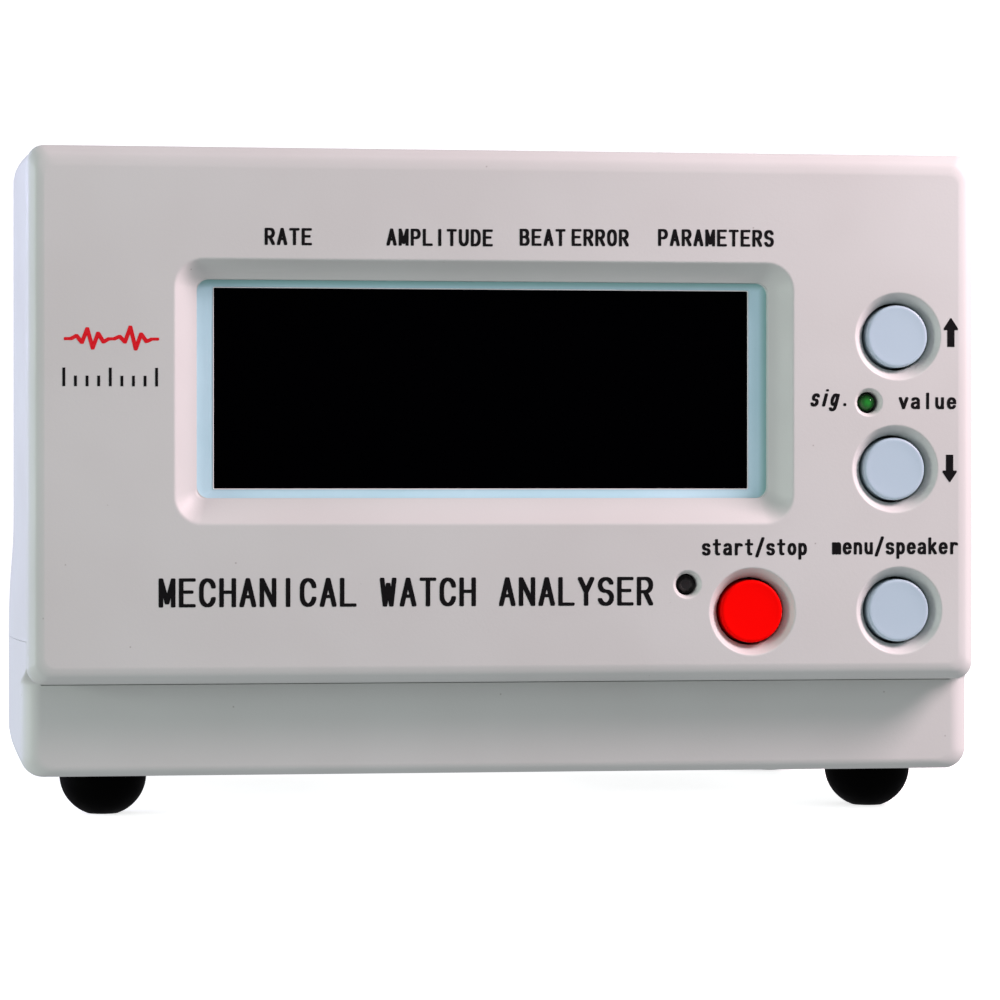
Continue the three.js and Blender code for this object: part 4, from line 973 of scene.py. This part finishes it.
def legend(form, text, x0, x1, baseline, height, pen, share=0.84, slant=0.0):
    """Letters set one to a cell between x0 and x1, each of the given height and as wide as its share of
    the cell."""
    pitch = (x1 - x0) / (len(text) - 1 + share)
    wide, high = pitch * share - pen[0], height - pen[1]
    print_of = nib(*pen)
    for n, letter in enumerate(text):
        if letter == " ":
            continue
        left, low = x0 + pitch * n + pen[0] / 2, baseline + pen[1] / 2
        patches = []
        for stroke in skeleton(letter):
            path = [(left + wide * x + slant * high * y, low + high * y) for x, y in stroke]
            for a, b in zip(path, path[1:] or path):
                patches.append(hull([(p[0] + q[0], p[1] + q[1]) for p in (a, b) for q in print_of]))
        printed(form, patches)


def arrow(form, x, tip, tail):
    """A solid arrow: a straight shaft with a broad head."""
    neck, slope = tip + (tail - tip) * 0.42, (tail - tip) * 0.06
    edge = (0.1, tip), (1.22, neck - slope), (1.16, neck)
    head = [(x + side * reach, z) for side in (-1, 1) for reach, z in edge]
    shaft = [(x + side * 0.62, z) for side in (-1, 1) for z in (neck - slope, tail)]
    printed(form, [hull(head), hull(shaft)])


legends = Form()
small, title, lower = (0.53, 0.42), (0.76, 0.56), (0.52, 0.4)
legend(legends, "RATE", -39.75, -32.1, 93.15, 2.78, small)
legend(legends, "AMPLITUDE", -20.0, -2.65, 93.22, 2.78, small)
legend(legends, "BEAT", 1.75, 9.3, 93.38, 2.78, small)
legend(legends, "ERROR", 10.3, 19.75, 93.42, 2.78, small)
legend(legends, "PARAMETERS", 24.6, 43.9, 93.55, 2.78, small)
legend(legends, "MECHANICAL WATCH ANALYSER", -56.8, 23.8, 34.8, 4.7, title)
legend(legends, "sig", 49.9, 54.6, 67.4, 3.0, lower, 0.86, 0.26)
legend(legends, ".", 55.5, 56.2, 67.4, 3.0, (0.5, 0.5))
legend(legends, "value", 64.9, 74.65, 67.0, 2.75, lower, 0.8)
legend(legends, "start/stop", 31.85, 49.5, 42.95, 2.8, lower, 0.86)
legend(legends, "menu/speaker", 53.65, 75.0, 43.05, 2.8, lower, 0.86)
arrow(legends, 73.7, 82.05, 77.3)
arrow(legends, 73.5, 55.0, 59.5)
fit(finished(legends.build("printed_legends", ink_black, 30)), "case", "black_plastic")


def beat_sign():
    """A plain red sign: the trace of a watch's beat, a level line with two bursts."""
    form = Form()
    heights = [0, 0, 0.5, -0.6, 1.6, -1.5, 0.9, -0.5, 0, 0, 0.4, -0.5, 1.9, -1.6, 0.8, -0.4, 0, 0]
    pen = nib(0.62, 0.5)
    path = [(-71.6 + 14.6 * n / (len(heights) - 1), 77.9 + rise) for n, rise in enumerate(heights)]
    pairs = zip(path, path[1:])
    printed(form, [hull([(p[0] + q[0], p[1] + q[1]) for p in pair for q in pen]) for pair in pairs])
    return form.build("printed_beat_sign", ink_red, 30)


fit(finished(beat_sign()), "case", "start_cap_plastic")


# ------------------------------------------------------------------ repeated things, made by geometry nodes
def grown(name, tree, mat, points=((0, 0, 0),), **sizes):
    """Runs a tree on a mesh of bare points and keeps the result as a plain mesh; sizes name the tree's
    inputs."""
    mesh = bpy.data.meshes.new(name)
    mesh.from_pydata([tuple(at(*p)) for p in points], [], [])
    obj = bpy.data.objects.new(name, mesh)
    bpy.context.scene.collection.objects.link(obj)
    grow = obj.modifiers.new("grow", "NODES")
    grow.node_group = tree
    named = {item.name: item.identifier for item in tree.interface.items_tree if item.item_type == "SOCKET"}
    for key, value in sizes.items():
        grow[named[key.replace("_", " ")]] = value
    grow[named["Finish"]] = mat
    graph = bpy.context.evaluated_depsgraph_get()
    result = bpy.data.meshes.new_from_object(obj.evaluated_get(graph))
    obj.modifiers.clear()
    obj.data = result
    bpy.data.meshes.remove(mesh)
    smooth(obj, 35)
    return obj


def new_tree(name, **sizes):
    """An empty geometry tree with its group input; sizes gives the inputs and their usual values."""
    tree = bpy.data.node_groups.new(name, "GeometryNodeTree")
    tree.interface.new_socket("Geometry", in_out="INPUT", socket_type="NodeSocketGeometry")
    for key, value in sizes.items():
        kind = {int: "NodeSocketInt", tuple: "NodeSocketVector"}.get(type(value), "NodeSocketFloat")
        tree.interface.new_socket(key.replace("_", " "), in_out="INPUT",
                                  socket_type=kind).default_value = value
    tree.interface.new_socket("Finish", in_out="INPUT", socket_type="NodeSocketMaterial")
    tree.interface.new_socket("Geometry", in_out="OUTPUT", socket_type="NodeSocketGeometry")
    return tree, tree.nodes.new("NodeGroupInput").outputs


def close_tree(tree, geometry, given):
    """Ends a tree: instances made real, then the finish set."""
    real = add(tree, "GeometryNodeRealizeInstances", Geometry=geometry)
    done = add(tree, "GeometryNodeSetMaterial", Geometry=real, Material=given["Finish"])
    tree.links.new(done.outputs[0], tree.nodes.new("NodeGroupOutput").inputs[0])
    return tree


def screw_tree():
    """Pan-head screws: a domed head with a cross recess over a plain shank, one on each point."""
    tree, given = new_tree("pan_head_screws", Head_Radius=2.4 * MM, Head_Height=1.7 * MM,
                           Shank_Radius=1.05 * MM, Shank_Length=6.0 * MM, Turn=(0.0, 0.0, 0.0))
    drum = add(tree, "GeometryNodeMeshCylinder", Vertices=36, Side_Segments=7, Radius=given["Head Radius"],
               Depth=given["Head Height"])
    spot = add(tree, "GeometryNodeInputPosition").outputs[0]
    parts = add(tree, "ShaderNodeSeparateXYZ", Vector=spot)
    # the top draws in towards the axis, more and more steeply, which domes the head
    level = add(tree, "ShaderNodeMath", {"operation": "DIVIDE"}, i0=parts.outputs[2],
                i1=given["Head Height"])
    rise = add(tree, "ShaderNodeMath", {"operation": "ADD"}, i0=level, i1=0.5)
    curve = add(tree, "ShaderNodeMath", {"operation": "POWER"}, i0=rise, i1=4.0)
    pull = add(tree, "ShaderNodeMath", {"operation": "MULTIPLY"}, i0=curve, i1=-0.24)
    pull_x = add(tree, "ShaderNodeMath", {"operation": "MULTIPLY"}, i0=parts, i1=pull)
    pull_y = add(tree, "ShaderNodeMath", {"operation": "MULTIPLY"}, i0=parts.outputs[1], i1=pull)
    lift = add(tree, "ShaderNodeMath", {"operation": "MULTIPLY"}, i0=given["Head Height"], i1=0.5)
    shift = add(tree, "ShaderNodeCombineXYZ", i0=pull_x, i1=pull_y, i2=lift)
    head = add(tree, "GeometryNodeSetPosition", Geometry=drum.outputs["Mesh"], Offset=shift)
    long_side = add(tree, "ShaderNodeMath", {"operation": "MULTIPLY"}, i0=given["Head Radius"], i1=1.1)
    short_side = add(tree, "ShaderNodeMath", {"operation": "MULTIPLY"}, i0=given["Head Radius"], i1=0.22)
    blades = []
    for x, y in ((long_side, short_side), (short_side, long_side)):
        size = add(tree, "ShaderNodeCombineXYZ", i0=x, i1=y, i2=given["Head Height"])
        lift = add(tree, "ShaderNodeCombineXYZ", i2=given["Head Height"])
        cube = add(tree, "GeometryNodeMeshCube", Size=size)
        blades.append(add(tree, "GeometryNodeTransform", Geometry=cube.outputs["Mesh"], Translation=lift))
    recess = add(tree, "GeometryNodeMeshBoolean", {"operation": "DIFFERENCE", "solver": "EXACT"},
                 i0=head)
    for blade in blades:
        tree.links.new(blade.outputs[0], recess.inputs[1])
    shank = add(tree, "GeometryNodeMeshCylinder", Vertices=20, Radius=given["Shank Radius"],
                Depth=given["Shank Length"])
    half_down = add(tree, "ShaderNodeMath", {"operation": "MULTIPLY"}, i0=given["Shank Length"], i1=-0.5)
    drop = add(tree, "ShaderNodeCombineXYZ", i2=half_down)
    shank = add(tree, "GeometryNodeTransform", Geometry=shank.outputs["Mesh"], Translation=drop)
    whole = add(tree, "GeometryNodeJoinGeometry")
    tree.links.new(recess.outputs[0], whole.inputs[0])
    tree.links.new(shank.outputs[0], whole.inputs[0])
    placed = add(tree, "GeometryNodeInstanceOnPoints", Points=given["Geometry"], Instance=whole,
                 Rotation=given["Turn"])
    return close_tree(tree, placed.outputs[0], given)


def lead_tree():
    """The bent leads along the four sides of a chip, one chip on each point."""
    tree, given = new_tree("chip_leads", Count=11, Pitch=1.6 * MM, Lead_Width=0.6 * MM, Body_Side=20.0 * MM,
                           Foot_Drop=0.9 * MM)
    gaps = add(tree, "ShaderNodeMath", {"operation": "SUBTRACT"}, i0=given["Count"], i1=1.0)
    half_pitch = add(tree, "ShaderNodeMath", {"operation": "MULTIPLY"}, i0=given["Pitch"], i1=-0.5)
    span = add(tree, "ShaderNodeMath", {"operation": "MULTIPLY"}, i0=gaps, i1=half_pitch)
    start = add(tree, "ShaderNodeCombineXYZ", i0=span)
    step = add(tree, "ShaderNodeCombineXYZ", i0=given["Pitch"])
    row = add(tree, "GeometryNodeMeshLine", Count=given["Count"], Start_Location=start,
              Offset=step)
    bends = add(tree, "GeometryNodeJoinGeometry")
    out = add(tree, "ShaderNodeMath", {"operation": "MULTIPLY"}, i0=given["Body Side"], i1=0.5)
    for reach, size, drop in ((0.4, 0.9, 0.0), (0.85, 0.22, 0.5), (1.25, 0.8, 1.0)):
        tall = 0.2 * MM if size > 0.5 else 1.1 * MM
        block = add(tree, "ShaderNodeCombineXYZ", i0=given["Lead Width"], i1=size * MM, i2=tall)
        away = add(tree, "ShaderNodeMath", {"operation": "ADD"}, i0=out, i1=reach * MM)
        down = add(tree, "ShaderNodeMath", {"operation": "MULTIPLY"}, i0=given["Foot Drop"], i1=-drop)
        spot = add(tree, "ShaderNodeCombineXYZ", i1=away, i2=down)
        cube = add(tree, "GeometryNodeMeshCube", Size=block)
        moved = add(tree, "GeometryNodeTransform", Geometry=cube.outputs["Mesh"], Translation=spot)
        tree.links.new(moved.outputs[0], bends.inputs[0])
    side = add(tree, "GeometryNodeInstanceOnPoints", Points=row.outputs["Mesh"], Instance=bends)
    corners = add(tree, "GeometryNodePoints", Count=4)
    number = add(tree, "GeometryNodeInputIndex")
    quarter = add(tree, "ShaderNodeMath", {"operation": "MULTIPLY"}, i0=number, i1=math.pi / 2)
    turn = add(tree, "ShaderNodeCombineXYZ", i2=quarter)
    ring = add(tree, "GeometryNodeInstanceOnPoints", Points=corners, Instance=side,
               Rotation=turn)
    chips = add(tree, "GeometryNodeInstanceOnPoints", Points=given["Geometry"], Instance=ring)
    return close_tree(tree, chips.outputs[0], given)


def tick_tree():
    """A scale of upright ticks standing on a line, every fourth one taller."""
    tree, given = new_tree("scale_ticks", Count=9, Pitch=1.85 * MM, Tick_Width=0.46 * MM,
                           Tick_Height=1.7 * MM, Tall_Share=1.75, Thickness=0.05 * MM)
    step = add(tree, "ShaderNodeCombineXYZ", i0=given["Pitch"])
    row = add(tree, "GeometryNodeMeshLine", Count=given["Count"], Offset=step)
    size = add(tree, "ShaderNodeCombineXYZ", i0=given["Tick Width"], i1=given["Thickness"],
               i2=given["Tick Height"])
    half_deep = add(tree, "ShaderNodeMath", {"operation": "MULTIPLY"}, i0=given["Thickness"], i1=0.5)
    half_tall = add(tree, "ShaderNodeMath", {"operation": "MULTIPLY"}, i0=given["Tick Height"], i1=0.5)
    lift = add(tree, "ShaderNodeCombineXYZ", i1=half_deep, i2=half_tall)
    cube = add(tree, "GeometryNodeMeshCube", Size=size)
    tick = add(tree, "GeometryNodeTransform", Geometry=cube.outputs["Mesh"], Translation=lift)
    number = add(tree, "GeometryNodeInputIndex")
    fourth = add(tree, "ShaderNodeMath", {"operation": "MODULO"}, i0=number, i1=4.0)
    tall = add(tree, "ShaderNodeMapRange", i0=fourth, i1=0.0, i2=1.0, i3=given["Tall Share"], i4=1.0)
    stretch = add(tree, "ShaderNodeCombineXYZ", i0=1.0, i1=1.0, i2=tall)
    ticks = add(tree, "GeometryNodeInstanceOnPoints", Points=row.outputs["Mesh"], Instance=tick,
                Scale=stretch)
    scales = add(tree, "GeometryNodeInstanceOnPoints", Points=given["Geometry"], Instance=ticks)
    return close_tree(tree, scales.outputs[0], given)


def screws(name, nodes, points, **sizes):
    obj = grown(name, pan_head, zinc_steel, points, **sizes)
    fit(obj, "case", "zinc_steel", *nodes)


pan_head = screw_tree()
half_turn = (math.pi, 0.0, 0.0)
screws("case_screws", [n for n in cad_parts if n.startswith("case_screw_")],
       [(side * CASE_SCREW_X, depth, 11.8) for depth in CASE_SCREW_DEPTHS for side in (-1, 1)],
       Head_Radius=2.8 * MM, Head_Height=2 * MM, Shank_Radius=1.4 * MM, Shank_Length=29 * MM,
       Turn=half_turn)


def seats(group):
    """The middle of each screw of a group, across the way it points, with its box."""
    for node in sorted(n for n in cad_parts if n.startswith(group)):
        low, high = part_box(node)
        yield node, (low + high) / 2 / MM, low / MM, high / MM


for group in ("display_screw_", "key_board_screw_"):
    found = list(seats(group))
    screws(group + "set", [node for node, *_ in found],
           [(middle.x, high.y + DEPTH / 2 - 1.7, middle.z) for _, middle, _, high in found],
           Turn=(-math.pi / 2, 0.0, 0.0))
found = list(seats("main_board_screw_"))
screws("main_board_screw_set", [node for node, *_ in found],
       [(middle.x, middle.y + DEPTH / 2, high.z - 1.7) for _, middle, _, high in found])

chip_low, chip_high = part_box("processor")
fit(grown("processor_leads", lead_tree(), zinc_steel,
          [(0, (chip_low.y + chip_high.y) / 2 / MM + DEPTH / 2, chip_low.z / MM + 0.9)]), "case",
    "zinc_steel")
fit(grown("printed_scale", tick_tree(), ink_black, [(-71.9, 0, 70.3)]), "case", "black_plastic")


# ------------------------------------------------------------------ rear fittings and everything inside
def carried(node, mat):
    """A CAD node that keeps its own shape, given its real finish."""
    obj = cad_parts[node]
    obj.data.materials.clear()
    obj.data.materials.append(mat)


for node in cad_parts:
    if node.endswith("_board"):
        carried(node, board_green)
    elif node in ("display_frame", "sensor_amplifier_shield", "speaker", "power_socket_nut",
                  "sensor_socket", "sensor_socket_nut"):
        carried(node, zinc_steel)
    elif node in ("processor", "voltage_regulator", "filter_capacitor"):
        carried(node, epoxy_black)
    elif node == "regulator_heatsink":
        carried(node, aluminium)
    elif node == "power_socket_pin":
        carried(node, brass)
    elif node == "display_cable":
        carried(node, cable_grey)
    elif node == "display_backlight":
        carried(node, acrylic_milky)
    elif node.endswith(("_switch", "_plunger")) or node.startswith("power_s"):
        carried(node, nylon_black)


# ------------------------------------------------------------------ studio
def area_light(name, place, target, size, power, colour):
    light = bpy.data.lights.new(name, "AREA")
    light.shape = "SQUARE"
    light.size = size
    light.energy = power
    light.color = linear(colour)[:3]
    obj = bpy.data.objects.new(name, light)
    bpy.context.scene.collection.objects.link(obj)
    obj.location = place
    obj.rotation_euler = (Vector(target) - Vector(place)).to_track_quat("-Z", "Y").to_euler()
    obj.visible_camera = False


def studio():
    """A white card that runs back and curves up, a soft pink-white light from the upper right, a cooler one
    from the left and behind, a faint greenish one from the left and front, and an even dim surround."""
    form = Form()
    width, near, far, rise = 3500, -2600, 1500, 2400
    curve = [(near, 0.0), (far, 0.0)]
    curve += [(far + 600 * math.sin(math.pi / 2 * k / 16), 600 * (1 - math.cos(math.pi / 2 * k / 16)))
              for k in range(1, 17)]
    curve.append((far + 600, rise))
    rings = [form.ring([(-width, d, z), (width, d, z)]) for d, z in curve]
    form.bands(rings, closed=False)
    floor = form.build("studio_card", studio_floor(), 60, outward=False)
    # the card is seen but doesn't throw light back, so that the case keeps its shade below the panel
    floor.visible_diffuse = floor.visible_glossy = False
    world = bpy.data.worlds.new("studio")
    world.use_nodes = True
    bpy.context.scene.world = world
    tree = world.node_tree
    sky = tree.nodes["Background"]
    height = add(tree, "ShaderNodeSeparateXYZ",
                 Vector=tree.nodes.new("ShaderNodeTexCoord").outputs["Generated"])
    level = add(tree, "ShaderNodeMapRange", Value=height.outputs[2], i1=-0.2, i2=0.2, i3=0.53, i4=0.45)
    tree.links.new(level.outputs[0], sky.inputs["Strength"])
    sky.inputs["Color"].default_value = (0.95, 0.94, 1.0, 1)
    middle = (0, -0.06, 0.06)
    area_light("key", (0.36, -0.2, 0.3), middle, 0.16, 3.0, "#FFDFEA")
    area_light("front_left", (-0.6, -0.22, 0.06), middle, 0.2, 1.55, "#F4FFF8")
    area_light("left", (-0.55, 0.3, 0.2), (0, 0.0, 0.06), 0.3, 2.4, "#CEC9FF")


studio()


def camera():
    data = bpy.data.cameras.new("camera")
    data.sensor_width = 36
    data.lens = 137.1
    data.clip_start, data.clip_end = 0.01, 20
    obj = bpy.data.objects.new("camera", data)
    bpy.context.scene.collection.objects.link(obj)
    yaw, distance, eye_height = math.radians(8), 619, 54
    look_down, look_aside = math.atan(12 / 3809), math.atan(9 / 3809)
    obj.location = at(-distance * math.sin(yaw), -distance * math.cos(yaw), eye_height)
    obj.rotation_euler = (math.pi / 2 - look_down, 0, look_aside - yaw)
    bpy.context.scene.camera = obj


camera()
bpy.context.scene.view_settings.view_transform = "Standard"
